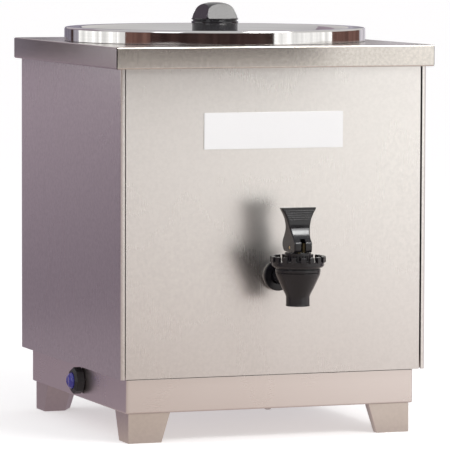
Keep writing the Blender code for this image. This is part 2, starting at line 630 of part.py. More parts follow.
def knob_profile():
    """Half section of the knob, from its blind screw hole, up its collar and over its dome."""
    shoulder = KNOB_HEIGHT - KNOB_DOME
    hole, depth = KNOB_SCREW_RADIUS + SEAT_GAP, shoulder * 0.7
    neck = KNOB_RADIUS - 0.5 * MM
    dome = [(KNOB_RADIUS * math.cos(a) ** KNOB_FULLNESS, shoulder + KNOB_DOME * math.sin(a) ** KNOB_FULLNESS)
            for a in (math.radians(10 * i) for i in range(1, 9))]
    groove = KNOB_RADIUS - 1.4 * MM
    return ([(0, depth), (hole, depth), (hole, 0), (neck, 0), (neck, shoulder - 4.2 * MM),
             (KNOB_RADIUS, shoulder - 4 * MM), (KNOB_RADIUS, shoulder - 1.7 * MM),
             (groove, shoulder - 1.4 * MM), (groove, shoulder - 0.5 * MM), (KNOB_RADIUS, shoulder)]
            + dome + [(0, KNOB_HEIGHT)])


def knob_flat_cutter():
    """The wedge outside one of the knob's grip flats, which slopes inwards to the dome's top."""
    (low_r, low_drop), (high_r, high_drop) = KNOB_FLAT_LOW, KNOB_FLAT_HIGH
    low_z, top_z = KNOB_HEIGHT - low_drop, KNOB_HEIGHT + KNOB_DOME
    slope = (high_r - low_r) / (low_drop - high_drop)
    far = 2 * KNOB_RADIUS
    outline = [(low_r, low_z), (far, low_z), (far, top_z), (low_r + slope * (top_z - low_z), top_z)]
    return prism(outline, -far, far, "Y")


def add_lid(polished, phenolic, zinc, carry):
    part("lid", turned(lid_profile(), ROUND), polished, carry, (LID_X, POT_Y, DECK_Z))
    knob_base = DECK_Z + LID_DISH_HEIGHT + SEAT_GAP
    place, turn = (LID_X, POT_Y, knob_base), (0, 0, KNOB_TURN)
    knob = part("lid_knob", turned(knob_profile(), MEDIUM), phenolic, carry, place, turn)
    for quarter in range(4):
        cut(knob, knob_flat_cutter(), place, (0, 0, KNOB_TURN + quarter * math.pi / 2))
    part("knob_screw", screw_mesh(KNOB_SCREW_RADIUS, 10 * MM, 1.6 * MM), zinc, carry,
         (LID_X, POT_Y, DECK_Z + LID_DISH_HEIGHT - LID_WALL - SEAT_GAP), (math.pi, 0, 0))


# ---- Faucet ----------------------------------------------------------------------------------------
def body_profile():
    """Half section of the valve body: spout, cone and thread outside, chamber and bore inside."""
    cone_foot = SPOUT_TIP_Z + 9.8 * MM
    return [
        (SPOUT_RADIUS + 0.3 * MM, SPOUT_TIP_Z), (SPOUT_RADIUS, SPOUT_TIP_Z + 1.5 * MM),
        (SPOUT_RADIUS, cone_foot - 1 * MM), (SPOUT_RADIUS + 0.7 * MM, cone_foot + 1 * MM),
        (14.8 * MM, -7.4 * MM), (18.7 * MM, 0.8 * MM), (BODY_RADIUS - 0.4 * MM, BODY_TOP_Z - 2 * MM),
        (BODY_RADIUS, BODY_TOP_Z), (THREAD_RADIUS, BODY_TOP_Z), (THREAD_RADIUS, THREAD_TOP_Z),
        (CHAMBER_RADIUS, THREAD_TOP_Z), (CHAMBER_RADIUS, 3 * MM), (CHAMBER_FLOOR_RADIUS, SEAT_Z),
        (SPOUT_BORE, SEAT_Z), (SPOUT_BORE, SPOUT_TIP_Z),
    ]


def bonnet_profile():
    """Half section of the bonnet: a pad for the handle, a crown, a flange and a grooved neck."""
    bore = STEM_RADIUS + RUNNING_GAP
    skirt = THREAD_RADIUS + RUNNING_GAP
    ceiling = THREAD_TOP_Z + SEAT_GAP
    crown_inner = BONNET_RADIUS - CROWN_WALL
    groove = BONNET_NECK_RADIUS - 0.7 * MM
    neck_low = BODY_TOP_Z + SEAT_GAP
    return [
        (bore, BONNET_TOP_Z), (BONNET_PAD_RADIUS - 1 * MM, BONNET_TOP_Z),
        (BONNET_PAD_RADIUS, BONNET_TOP_Z - 1 * MM), (BONNET_PAD_RADIUS, BONNET_FLOOR_Z),
        (crown_inner, BONNET_FLOOR_Z), (crown_inner, BONNET_CROWN_Z), (BONNET_RADIUS, BONNET_CROWN_Z),
        (BONNET_RADIUS, BONNET_FLOOR_Z), (BONNET_FLANGE_RADIUS, BONNET_FLOOR_Z - 0.5 * MM),
        (BONNET_FLANGE_RADIUS, BONNET_NECK_TOP_Z + 1.8 * MM),
        (BONNET_NECK_RADIUS + 1.4 * MM, BONNET_NECK_TOP_Z), (groove, BONNET_NECK_TOP_Z),
        (groove, BONNET_NECK_TOP_Z - 1.2 * MM), (BONNET_NECK_RADIUS, BONNET_NECK_TOP_Z - 1.4 * MM),
        (BONNET_NECK_RADIUS, neck_low), (skirt, neck_low), (skirt, ceiling), (bore, ceiling),
    ]


def crown_notches():
    """Boxes that cut the notches in the bonnet's crown."""
    shape = bmesh.new()
    half = CROWN_NOTCH_WIDTH / 2
    inner = BONNET_RADIUS - CROWN_WALL - SHEET
    for i in range(CROWN_NOTCHES):
        verts = add_box(shape, (inner, -half, BONNET_FLOOR_Z + 0.1 * MM),
                        (BONNET_RADIUS + SHEET, half, BONNET_CROWN_Z + SHEET))
        turn = Matrix.Rotation(math.tau * (i + 0.5) / CROWN_NOTCHES, 4, "Z")
        bmesh.ops.transform(shape, matrix=turn, verts=verts)
    return to_mesh(shape)


def handle_side_outline():
    """The handle seen from its side, as (y, z): a cam foot, a waist and an upright paddle."""
    foot = BONNET_TOP_Z + RUNNING_GAP
    cam = arc((HANDLE_BASE_FRONT + HANDLE_CAM_RADIUS, foot + HANDLE_CAM_RADIUS),
              HANDLE_CAM_RADIUS, 180, 270, 4)
    heel_radius = HANDLE_SHOULDER_Z - foot
    heel = arc((HANDLE_BASE_BACK - heel_radius, HANDLE_SHOULDER_Z), heel_radius, 270, 360, 5)
    back = [(17.6 * MM, 38 * MM), (12.4 * MM, 43.4 * MM), (7.4 * MM, 48.4 * MM), (5.4 * MM, 53.4 * MM),
            (4.4 * MM, 60.4 * MM), (3.5 * MM, HANDLE_TOP_Z)]
    front = [(-3 * MM, HANDLE_TOP_Z), (-3.4 * MM, 60 * MM), (-4.2 * MM, 52.4 * MM),
             (-6.8 * MM, 45.6 * MM), (-10.4 * MM, 40 * MM), (HANDLE_BASE_FRONT, HANDLE_SHOULDER_Z + 2 * MM)]
    return cam + heel + back + front


def handle_front_outline():
    """The handle seen from the front, as (x, z): a narrow foot that flares to a wide top."""
    low = BONNET_TOP_Z - 1 * MM
    half = [(HANDLE_BASE_HALF, low), (HANDLE_BASE_HALF, 36 * MM), (8.6 * MM, 39.6 * MM),
            (9.6 * MM, 46 * MM), (10.7 * MM, 51.6 * MM), (12.2 * MM, 57.4 * MM),
            (14.6 * MM, 62.8 * MM), (HANDLE_TOP_HALF, HANDLE_TOP_Z + 1 * MM)]
    return half + [(-x, z) for x, z in reversed(half)]


def add_valve(plastic, silicone, frame):
    centre = Vector((FAUCET_X, FAUCET_Y, FAUCET_Z))
    body = part("faucet_body", turned(body_profile(), MEDIUM), plastic, frame, centre)
    cut(body, rod(SHANK_RADIUS, -NECK_LENGTH, -CHAMBER_RADIUS + 1 * MM, MEDIUM), centre, ALONG_Y, "UNION")
    cut(body, rod(SHANK_BORE, -NECK_LENGTH * 2, -CHAMBER_FLOOR_RADIUS / 2, MEDIUM), centre, ALONG_Y)
    wall_y = POT_Y - POT_RADIUS
    start, end = NECK_LENGTH + SEAT_GAP, wall_y + SHANK_PAST_POT_WALL - FAUCET_Y
    part("faucet_shank", turned([(SHANK_BORE, -end), (SHANK_RADIUS, -end), (SHANK_RADIUS, -start),
                                 (SHANK_BORE, -start)], MEDIUM), plastic, frame, centre, ALONG_Y)
    ring_bore = SHANK_RADIUS + RUNNING_GAP

    def ring(name, radius, front_y, thickness, finish):
        """A ring on the shank, from front_y back by its thickness."""
        section = [(ring_bore, -thickness), (radius, -thickness), (radius, 0), (ring_bore, 0)]
        part(name, turned(section, MEDIUM), finish, frame, (FAUCET_X, front_y, FAUCET_Z), ALONG_Y)

    gasket_front = FRONT_Y - SEAT_GAP - GASKET_THICKNESS
    ring("front_gasket", COLLAR_RADIUS - 1 * MM, gasket_front, GASKET_THICKNESS, silicone)
    collar_front = gasket_front - SEAT_GAP - COLLAR_THICKNESS
    ring("shank_collar", COLLAR_RADIUS, collar_front, COLLAR_THICKNESS, plastic)
    nut_radius = SHANK_NUT[0]
    bulge = POT_RADIUS - math.sqrt(POT_RADIUS**2 - (nut_radius + FAUCET_X) ** 2)
    inner_gasket = wall_y + bulge + SEAT_GAP
    ring("pot_gasket", nut_radius - 1 * MM, inner_gasket, GASKET_THICKNESS, silicone)
    add_nut("shank_nut", SHANK_NUT, ring_bore, plastic, frame,
            (FAUCET_X, inner_gasket + GASKET_THICKNESS + SEAT_GAP, FAUCET_Z), ALONG_Y)
    bonnet = part("faucet_bonnet", turned(bonnet_profile(), MEDIUM), plastic, frame, centre)
    cut(bonnet, crown_notches(), centre)


def add_stem(plastic, brass, silicone, carry):
    centre = Vector((FAUCET_X, FAUCET_Y, FAUCET_Z))
    tab_thickness, tab_reach = STEM_TAB
    foot_drop = PIN_Z - BONNET_TOP_Z - RUNNING_GAP
    tilted_drop = foot_drop / math.cos(HANDLE_TRAVEL) + STEM_RADIUS * math.tan(HANDLE_TRAVEL)
    tab_low, tab_high = PIN_Z - tilted_drop - SEAT_GAP, PIN_Z + tab_reach
    cup_low = SEAT_Z + SEAT_GAP
    rod_low = cup_low + CUP_HEIGHT / 2
    stem = part("valve_stem", rod(STEM_RADIUS, rod_low, tab_high, MEDIUM), brass, carry, centre)
    flats = bmesh.new()
    for side in (-1, 1):
        near, far = sorted((side * tab_thickness / 2, side * 2 * STEM_RADIUS))
        add_box(flats, (near, -2 * STEM_RADIUS, tab_low), (far, 2 * STEM_RADIUS, tab_high + 1 * MM))
    cut(stem, to_mesh(flats), centre)
    cut(stem, rod(PIN_RADIUS + SEAT_GAP, -2 * STEM_RADIUS, 2 * STEM_RADIUS),
        centre + Vector((0, 0, PIN_Z)), ALONG_X)
    bore = STEM_RADIUS + SEAT_GAP
    top = cup_low + CUP_HEIGHT
    floor = rod_low - SEAT_GAP
    part("seat_cup", turned([(0, cup_low), (CUP_RADIUS, cup_low), (CUP_RADIUS, cup_low + 2 * MM),
                             (CUP_RADIUS - 3 * MM, top - 1 * MM), (CUP_RADIUS - 4 * MM, top),
                             (bore, top), (bore, floor), (0, floor)], MEDIUM), silicone, carry, centre)
    half = HANDLE_BASE_HALF - 0.2 * MM
    part("handle_pin", rod(PIN_RADIUS, -half, half), brass, carry, centre + Vector((0, 0, PIN_Z)), ALONG_X)


def add_handle(plastic, carry):
    centre = Vector((FAUCET_X, FAUCET_Y, FAUCET_Z))
    far = 2 * HANDLE_TOP_HALF
    pivot = centre + Vector((0, 0, PIN_Z))
    side = prism(handle_side_outline(), -far, far, "X")
    side.transform(Matrix.Translation((0, 0, -PIN_Z)))
    handle = part("faucet_handle", side, plastic, carry, pivot)
    cut(handle, prism(handle_front_outline(), -far, far, "Y"), centre, operation="INTERSECT")
    cut(handle, box((-HANDLE_SLOT / 2, 2 * HANDLE_BASE_FRONT, BONNET_TOP_Z - 1 * MM),
                    (HANDLE_SLOT / 2, HANDLE_SLOT_BACK, HANDLE_SLOT_TOP_Z)), centre)
    cut(handle, rod(PIN_RADIUS + SEAT_GAP, -far, far), pivot, ALONG_X)


# ---- Switch, inlet and leads -------------------------------------------------------------------------
def add_switch(plastic, phenolic, lens, frame, carry):
    """The push switch: its own +Z is turned to -X, out of the plinth's left face."""
    face = Vector((-PLINTH_HALF_X, SWITCH_Y, SWITCH_Z))
    outward = (0, -math.pi / 2, 0)
    bore = BUTTON_RADIUS + RUNNING_GAP
    low, high = SEAT_GAP, SEAT_GAP + BEZEL_THICKNESS
    outline = [(0, low), (BEZEL_RADIUS - 1 * MM, low), (BEZEL_RADIUS, low + 1 * MM),
               (BEZEL_RADIUS, high - 2 * MM), (BEZEL_RADIUS - 2 * MM, high), (0, high)]
    bezel = part("switch_bezel", turned(outline, 8), plastic, frame, face, outward, smooth=False)
    cut(bezel, rod(bore, -BEZEL_THICKNESS, 2 * BEZEL_THICKNESS, MEDIUM), face, outward)
    neck_low = -SHEET - SEAT_GAP
    floor = BUTTON_REACH - BUTTON_LENGTH - BUTTON_TRAVEL - 2 * MM
    housing = [(0, -HOUSING_LENGTH), (HOUSING_RADIUS, -HOUSING_LENGTH), (HOUSING_RADIUS, neck_low),
               (HOUSING_NECK_RADIUS, neck_low), (HOUSING_NECK_RADIUS, 0), (bore, 0), (bore, floor),
               (0, floor)]
    part("switch_housing", turned(housing, MEDIUM), phenolic, frame, face, outward)
    low = BUTTON_REACH - BUTTON_LENGTH
    cap = [(0, low), (BUTTON_RADIUS, low), (BUTTON_RADIUS, BUTTON_REACH - 3.4 * MM),
           (BUTTON_RADIUS - 2 * MM, BUTTON_REACH - 0.8 * MM), (BUTTON_RADIUS - 4.5 * MM, BUTTON_REACH),
           (0, BUTTON_REACH)]
    part("button_cap", turned(cap, MEDIUM), lens, carry, face, outward)


def add_inlet(plastic, frame):
    """The power inlet in the back of the plinth, with its three contact blades in a pocket."""
    face_y = MIDDLE_Y + PLINTH_HALF_Y
    centre = Vector((INLET_X, face_y + SEAT_GAP, INLET_Z))
    flange_x, flange_z, flange_y = INLET_FLANGE
    body_x, body_z, body_y = INLET_BODY
    flange = box((-flange_x / 2, 0, -flange_z / 2), (flange_x / 2, flange_y, flange_z / 2))
    inlet = part("power_inlet", flange, plastic, frame, centre, smooth=False)
    cut(inlet, box((-body_x / 2, -body_y, -body_z / 2), (body_x / 2, flange_y / 2, body_z / 2)), centre,
        operation="UNION")
    pocket_x, pocket_z, pocket_y = INLET_POCKET
    cut(inlet, box((-pocket_x / 2, flange_y - pocket_y, -pocket_z / 2),
                   (pocket_x / 2, flange_y * 2, pocket_z / 2)), centre)
    blade_x, blade_z, blade_y = INLET_PIN
    floor = flange_y - pocket_y
    shape = bmesh.new()
    for i, lift in ((-1, -1), (0, 1), (1, -1)):
        x, z = i * INLET_PIN_SPACING, lift * 1.5 * MM
        add_box(shape, (x - blade_x / 2, floor - 1 * MM, z - blade_z / 2),
                (x + blade_x / 2, floor + blade_y, z + blade_z / 2))
    cut(inlet, to_mesh(shape), centre, operation="UNION")


def smooth_route(points, per_span):
    """Points along a smooth curve through the given ones."""
    ends = [points[0] * 2 - points[1]] + points + [points[-1] * 2 - points[-2]]
    route = []
    for a, b, c, d in zip(ends, ends[1:], ends[2:], ends[3:]):
        for i in range(per_span):
            t = i / per_span
            route.append(0.5 * (2 * b + (c - a) * t + (2 * a - 5 * b + 4 * c - d) * t * t
                                + (3 * b - a - 3 * c + d) * t**3))
    return route + [points[-1]]


def add_lead(name, points, finish, frame):
    curve = bpy.data.curves.new(name, "CURVE")
    curve.dimensions = "3D"
    curve.bevel_depth = LEAD_RADIUS
    curve.bevel_resolution = 2
    curve.use_fill_caps = True
    route = smooth_route([Vector(p) for p in points], 3)
    spline = curve.splines.new("POLY")
    spline.points.add(len(route) - 1)
    for point, place in zip(spline.points, route):
        point.co = (*place, 1)
    curve.materials.append(finish)
    link(name, curve, frame, (0, 0, 0))


def add_leads(wire, frame):
    low = INLET_Z
    back_y = MIDDLE_Y + PLINTH_HALF_Y - INLET_BODY[2]
    switch_x = -PLINTH_HALF_X + HOUSING_LENGTH + 2 * SEAT_GAP
    thermostat_x, thermostat_y = THERMOSTAT_PLACE
    grommet_x, grommet_y = GROMMET_PLACE
    box_left = thermostat_x - THERMOSTAT_SIZE[0] / 2 - 2 * SEAT_GAP
    box_top = CABINET_Z + SHEET + SEAT_GAP + THERMOSTAT_SIZE[2] + 2 * SEAT_GAP
    add_lead("lead_inlet_to_switch", [
        (INLET_X, back_y - SEAT_GAP, low), (INLET_X - 4 * MM, back_y - 24 * MM, low - 3 * MM),
        (INLET_X - 50 * MM, back_y - 60 * MM, low - 8 * MM), (-30 * MM, SWITCH_Y + 40 * MM, low - 8 * MM),
        (switch_x + 26 * MM, SWITCH_Y + 12 * MM, low - 4 * MM), (switch_x, SWITCH_Y + 4 * MM, low)],
        wire, frame)
    add_lead("lead_switch_to_thermostat", [
        (switch_x, SWITCH_Y - 4 * MM, low), (switch_x + 12 * MM, SWITCH_Y - 2 * MM, low - 2 * MM),
        (grommet_x + 6 * MM, grommet_y - 2 * MM, CABINET_Z - 8 * MM),
        (grommet_x, grommet_y, CABINET_Z + 2 * MM),
        (grommet_x - 1 * MM, grommet_y - 6 * MM, CABINET_Z + 13 * MM),
        (box_left - 7 * MM, thermostat_y + 4 * MM, CABINET_Z + 16 * MM),
        (box_left, thermostat_y, CABINET_Z + 16 * MM)], wire, frame)
    cutoff_y = POT_Y + CUTOFF_OFFSET
    cutoff_bottom = POT_FLOOR_Z - POT_WALL - 2 * SEAT_GAP - HEATER_PLATE[1] - CUTOFF[1] - 2 * SEAT_GAP
    add_lead("lead_thermostat_to_heater", [
        (thermostat_x, thermostat_y, box_top),
        (thermostat_x + 2 * MM, thermostat_y + 2 * MM, box_top + 8 * MM),
        (thermostat_x + 40 * MM, (thermostat_y + cutoff_y) / 2, box_top + 10 * MM),
        (-3 * MM, cutoff_y - 4 * MM, cutoff_bottom - 10 * MM), (0, cutoff_y, cutoff_bottom)], wire, frame)


# ---- Assembly ----------------------------------------------------------------------------------------
def main():
    clear_scene()
    steel = material("brushed_steel", (0.62, 0.59, 0.57), 0.32, 1.0)
    polished = material("polished_steel", (0.78, 0.77, 0.76), 0.08, 1.0)
    zinc = material("screw_steel", (0.6, 0.6, 0.6), 0.35, 1.0)
    plastic = material("black_plastic", (0.02, 0.02, 0.022), 0.35)
    phenolic = material("black_phenolic", (0.03, 0.03, 0.035), 0.3)
    silicone = material("silicone", (0.75, 0.73, 0.7), 0.6)
    brass = material("brass", (0.78, 0.62, 0.33), 0.25, 1.0)
    lens = material("blue_lens", (0.03, 0.03, 0.45), 0.12)
    white = material("label_white", (0.9, 0.9, 0.9), 0.5)
    aluminium = material("aluminium", (0.7, 0.7, 0.72), 0.4, 1.0)
    mica = material("ceramic", (0.75, 0.72, 0.65), 0.7)
    wool = material("insulation_wool", (0.8, 0.78, 0.7), 0.95)
    wire = material("lead_red", (0.45, 0.04, 0.03), 0.5)

    pivot = Vector((FAUCET_X, FAUCET_Y, FAUCET_Z))
    frame = carrier("cabinet_frame", (0, 0, 0))
    lid_carrier = carrier("lid_lift", (LID_X, POT_Y, DECK_Z), frame)
    stem_carrier = carrier("stem_lift", pivot, frame)
    handle_carrier = carrier("handle_tilt", pivot + Vector((0, 0, PIN_Z)), stem_carrier)
    button_carrier = carrier("button_press", (-PLINTH_HALF_X, SWITCH_Y, SWITCH_Z), frame)

    add_front_panel(steel, frame)
    add_sides_and_back(steel, zinc, frame)
    add_deck(steel, frame)
    add_floor_pan(steel, frame)
    add_plinth(steel, zinc, frame)
    add_feet(steel, zinc, frame)
    add_label(white, frame)
    add_pot(steel, frame)
    add_heaters(aluminium, steel, mica, wool, frame)
    add_thermostat(phenolic, frame)
    add_lid(polished, phenolic, zinc, lid_carrier)
    add_valve(plastic, silicone, frame)
    add_stem(plastic, brass, silicone, stem_carrier)
    add_handle(plastic, handle_carrier)
    add_switch(plastic, phenolic, lens, frame, button_carrier)
    add_inlet(plastic, frame)
    add_leads(wire, frame)


main()
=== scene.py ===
"""Looks of a countertop nacho cheese dispenser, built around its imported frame.

Lengths are metres in the frame's own axes: +Z is up, +Y points to the back, and the feet stand on z = 0.
"""

import logging
import math
from dataclasses import dataclass, field
from enum import Enum
from typing import Any, Callable, Iterable, Sequence

import bmesh
import bpy
from mathutils import Matrix, Vector


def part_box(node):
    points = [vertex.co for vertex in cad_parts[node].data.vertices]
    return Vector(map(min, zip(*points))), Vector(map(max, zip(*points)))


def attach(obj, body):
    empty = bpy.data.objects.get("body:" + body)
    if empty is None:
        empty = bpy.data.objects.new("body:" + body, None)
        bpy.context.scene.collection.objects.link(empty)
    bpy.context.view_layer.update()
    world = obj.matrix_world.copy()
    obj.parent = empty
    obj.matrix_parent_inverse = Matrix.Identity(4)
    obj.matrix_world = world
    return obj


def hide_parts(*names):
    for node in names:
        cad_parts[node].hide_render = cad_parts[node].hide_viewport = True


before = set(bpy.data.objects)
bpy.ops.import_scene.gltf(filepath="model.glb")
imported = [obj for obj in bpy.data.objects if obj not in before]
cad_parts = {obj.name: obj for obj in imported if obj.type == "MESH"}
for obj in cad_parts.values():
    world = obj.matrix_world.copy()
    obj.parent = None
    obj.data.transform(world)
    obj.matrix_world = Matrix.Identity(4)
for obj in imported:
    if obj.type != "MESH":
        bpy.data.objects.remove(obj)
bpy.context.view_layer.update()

MM = 0.001
TINY = 1e-7  # a length or radius under this counts as none
WELD = 1e-6  # points nearer than this become one
FLAT = math.radians(0.5)  # faces that meet at less than this become one
STRAIGHT = 0.12  # radians: a corner that turns less than this stays as it is
MOST_OF_SIDE = 0.45  # of a side, the most that one corner's rounding takes
CORNER_STEPS = 6  # segments in a folded band's rounded corner
CORNERS = ((1, 1), (-1, 1), (-1, -1), (1, -1))  # a rectangle's, in order round it
FACE_AREA_WEIGHT = 90  # large flats keep their own normals beside rounded edges
Colour = tuple[float, float, float]
Point = tuple[float, float]
log = logging.getLogger("dispenser")


class Body(str, Enum):
    """The bodies that pieces ride on."""

    CABINET = "cabinet"
    LID = "lid"
    STEM = "stem"
    HANDLE = "handle"
    BUTTON = "button"


class Slot(str, Enum):
    """The record's material slots."""

    BRUSHED = "brushed_steel"
    POLISHED = "polished_steel"
    SCREW = "screw_steel"
    PLASTIC = "black_plastic"
    PHENOLIC = "black_phenolic"
    SILICONE = "silicone"
    BRASS = "brass"
    LENS = "blue_lens"
    LABEL = "label_white"


# ---- Node trees ----------------------------------------------------------------------------------
class Graph:
    """Adds nodes to one tree and wires them."""

    def __init__(self, tree: bpy.types.NodeTree) -> None:
        """Holds the tree."""
        self.tree = tree

    def feed(self, node: bpy.types.Node, inputs: dict[Any, Any]) -> None:
        """Fills a node's inputs.

        Args:
            node: The node.
            inputs: Values or output sockets, by the input's name or number.
        """
        for key, value in inputs.items():
            if isinstance(value, bpy.types.NodeSocket):
                self.tree.links.new(value, node.inputs[key])
            else:
                node.inputs[key].default_value = value

    def add(self, kind: str, inputs: dict[Any, Any] | None = None, **settings: Any) -> bpy.types.Node:
        """Adds one node.

        Args:
            kind: The node's type name.
            inputs: Values or output sockets, by the input's name or number.
            settings: The node's own properties.

        Returns:
            The new node.
        """
        node = self.tree.nodes.new(kind)
        for key, value in settings.items():
            setattr(node, key, value)
        self.feed(node, inputs or {})
        return node

    def math(self, operation: str, *values: Any, clamp: bool = False) -> bpy.types.NodeSocket:
        """Adds a Math node and returns its result."""
        node = self.add("ShaderNodeMath", dict(enumerate(values)), operation=operation, use_clamp=clamp)
        return node.outputs[0]

    def times(self, first: Any, second: Any) -> bpy.types.NodeSocket:
        """Multiplies two numbers."""
        return self.math("MULTIPLY", first, second)

    def vector(self, operation: str, first: Any, second: Any) -> bpy.types.NodeSocket:
        """Adds a Vector Math node and returns its result."""
        return self.add("ShaderNodeVectorMath", {0: first, 1: second}, operation=operation).outputs[0]

    def split(self, vector: Any) -> Sequence[bpy.types.NodeSocket]:
        """Returns a vector's three parts."""
        return self.add("ShaderNodeSeparateXYZ", {0: vector}).outputs

    def combined(self, **parts: Any) -> bpy.types.NodeSocket:
        """Returns the vector of the parts X, Y and Z, each 0 where it is left out."""
        return self.add("ShaderNodeCombineXYZ", parts).outputs[0]

    def place(self) -> bpy.types.NodeSocket:
        """Returns the place on the surface, in the object's own axes."""
        return self.add("ShaderNodeTexCoord").outputs["Object"]

    def noise(self, place: Any, scale: Any, detail: float, **inputs: Any) -> bpy.types.NodeSocket:
        """Adds a Noise Texture at that place and returns its value."""
        node = self.add("ShaderNodeTexNoise", {"Vector": place, "Scale": scale, "Detail": detail, **inputs})
        return node.outputs["Fac"]

    def spread(self, value: Any, low: float, high: float, to_low: float = 0.0,
               to_high: float = 1.0) -> bpy.types.NodeSocket:
        """Maps a value from one range to another, clamped, and returns the result."""
        node = self.add("ShaderNodeMapRange", {"Value": value, "From Min": low, "From Max": high,
                                               "To Min": to_low, "To Max": to_high})
        return node.outputs["Result"]

    def mix(self, share: bpy.types.NodeSocket, first: Any, second: Any) -> bpy.types.NodeSocket:
        """Mixes two colours by a mask.

        Args:
            share: The mask, 0 for the first colour and 1 for the second.
            first: A plain colour, or the socket that gives it.
            second: The same.

        Returns:
            The mixed colour.
        """
        node = self.add("ShaderNodeMix", data_type="RGBA")
        sockets = {socket.identifier: socket for socket in node.inputs}
        self.tree.links.new(share, sockets["Factor_Float"])
        for key, colour in (("A_Color", first), ("B_Color", second)):
            if isinstance(colour, bpy.types.NodeSocket):
                self.tree.links.new(colour, sockets[key])
            else:
                sockets[key].default_value = (*colour, 1.0)
        return next(socket for socket in node.outputs if socket.identifier == "Result_Color")

    def group(self, tree: bpy.types.NodeTree, **inputs: Any) -> Any:
        """Places a node group with its values and returns its outputs."""
        return self.add("ShaderNodeGroup", inputs, node_tree=tree).outputs


Sockets = dict[str, bpy.types.NodeSocket]


def shader_group(inputs: dict[str, tuple[str, Any]],
                 *outputs: str) -> Callable[[Callable[[Graph, Any], Sockets]],
                                            Callable[[], bpy.types.NodeTree]]:
    """Turns a function that fills a shader node group into one that makes the group.

    Args:
        inputs: Socket type and default value by input name.
        outputs: The outputs' names. Each is a number.

    Returns:
        The decorator. The function under it is given the graph and the group's inputs, and returns
        what each output reads.
    """

    def decorate(fill: Callable[[Graph, Any], Sockets]) -> Callable[[], bpy.types.NodeTree]:
        """Wraps the function that fills the group.

        Args:
            fill: That function. Its name becomes the group's.

        Returns:
            The function that makes the group.
        """

        def group() -> bpy.types.NodeTree:
            """Makes the group once, and hands it back after that."""
            name = fill.__name__
            if name in bpy.data.node_groups:
                return bpy.data.node_groups[name]
            tree = bpy.data.node_groups.new(name, "ShaderNodeTree")
            for label, (kind, value) in inputs.items():
                tree.interface.new_socket(label, in_out="INPUT", socket_type=kind).default_value = value
            for label in outputs:
                tree.interface.new_socket(label, in_out="OUTPUT", socket_type="NodeSocketFloat")
            graph = Graph(tree)
            given, out = graph.add("NodeGroupInput"), graph.add("NodeGroupOutput")
            graph.feed(out, fill(graph, given.outputs))
            return tree

        return group

    return decorate


@shader_group({"Stretch": ("NodeSocketVector", (900.0, 900.0, 12.0))}, "Tone", "Height")
def brush_grain(g: Graph, given: Any) -> Sockets:
    """Fine parallel scratches of brushed sheet. Stretch is the grain's fineness along each axis."""
    laid = g.vector("MULTIPLY", g.place(), given["Stretch"])
    fine, wide = g.noise(laid, 1.0, 4.0, Roughness=0.62), g.noise(laid, 0.3, 2.0)
    both = g.math("ADD", g.times(fine, 0.7), g.times(wide, 0.3))
    return {"Tone": g.spread(both, 0.3, 0.7), "Height": fine}


@shader_group({"Axis": ("NodeSocketVector", (0.0, 0.0, 0.0)),
               "Fineness": ("NodeSocketFloat", 1200.0)}, "Tone", "Height")
def spin_marks(g: Graph, given: Any) -> Sockets:
    """Fine rings about an upright axis, as a spun and polished lid has."""
    x, y, z = g.split(g.vector("SUBTRACT", g.place(), given["Axis"]))
    radius = g.math("SQRT", g.math("ADD", g.math("POWER", x, 2.0), g.math("POWER", y, 2.0)))
    laid = g.combined(X=g.times(radius, given["Fineness"]), Y=g.times(g.math("ARCTAN2", y, x), 1.6),
                      Z=g.times(z, given["Fineness"]))
    rings = g.noise(laid, 1.0, 4.0)
    return {"Tone": g.spread(rings, 0.3, 0.7), "Height": rings}


@shader_group({"Scale": ("NodeSocketFloat", 14.0), "Amount": ("NodeSocketFloat", 1.0)}, "Mask")
def handling_marks(g: Graph, given: Any) -> Sockets:
    """Soft cloudy patches where a cloth or a hand has left its film."""
    cloud = g.noise(g.place(), given["Scale"], 3.0, Distortion=0.6)
    return {"Mask": g.times(g.spread(cloud, 0.42, 0.7), given["Amount"])}


@shader_group({"Amount": ("NodeSocketFloat", 1.0)}, "Mask")
def edge_wear(g: Graph, given: Any) -> Sockets:
    """A mask on outer edges, broken up by noise."""
    edge = g.spread(g.add("ShaderNodeNewGeometry").outputs["Pointiness"], 0.52, 0.62)
    broken = g.times(edge, g.spread(g.noise(g.place(), 320.0, 3.0), 0.35, 0.65))
    return {"Mask": g.math("MULTIPLY", broken, given["Amount"], clamp=True)}


@shader_group({"Amount": ("NodeSocketFloat", 0.2)}, "Mask")
def settled_dust(g: Graph, given: Any) -> Sockets:
    """A faint film on what faces up."""
    up = g.spread(g.split(g.add("ShaderNodeNewGeometry").outputs["Normal"])[2], 0.55, 1.0)
    film = g.times(up, g.spread(g.noise(g.place(), 700.0, 2.0), 0.4, 0.7))
    return {"Mask": g.times(film, given["Amount"])}


@shader_group({"Scale": ("NodeSocketFloat", 900.0)}, "Tone", "Height")
def moulded_grain(g: Graph, given: Any) -> Sockets:
    """The faint orange peel of a moulding."""
    peel = g.noise(g.place(), given["Scale"], 3.0)
    return {"Tone": g.spread(peel, 0.35, 0.65), "Height": peel}


def new_material(name: str) -> tuple[bpy.types.Material, Graph, bpy.types.Node]:
    """A new material, its graph and its Principled BSDF."""
    made = bpy.data.materials.new(name)
    made.use_nodes = True
    return made, Graph(made.node_tree), made.node_tree.nodes["Principled BSDF"]


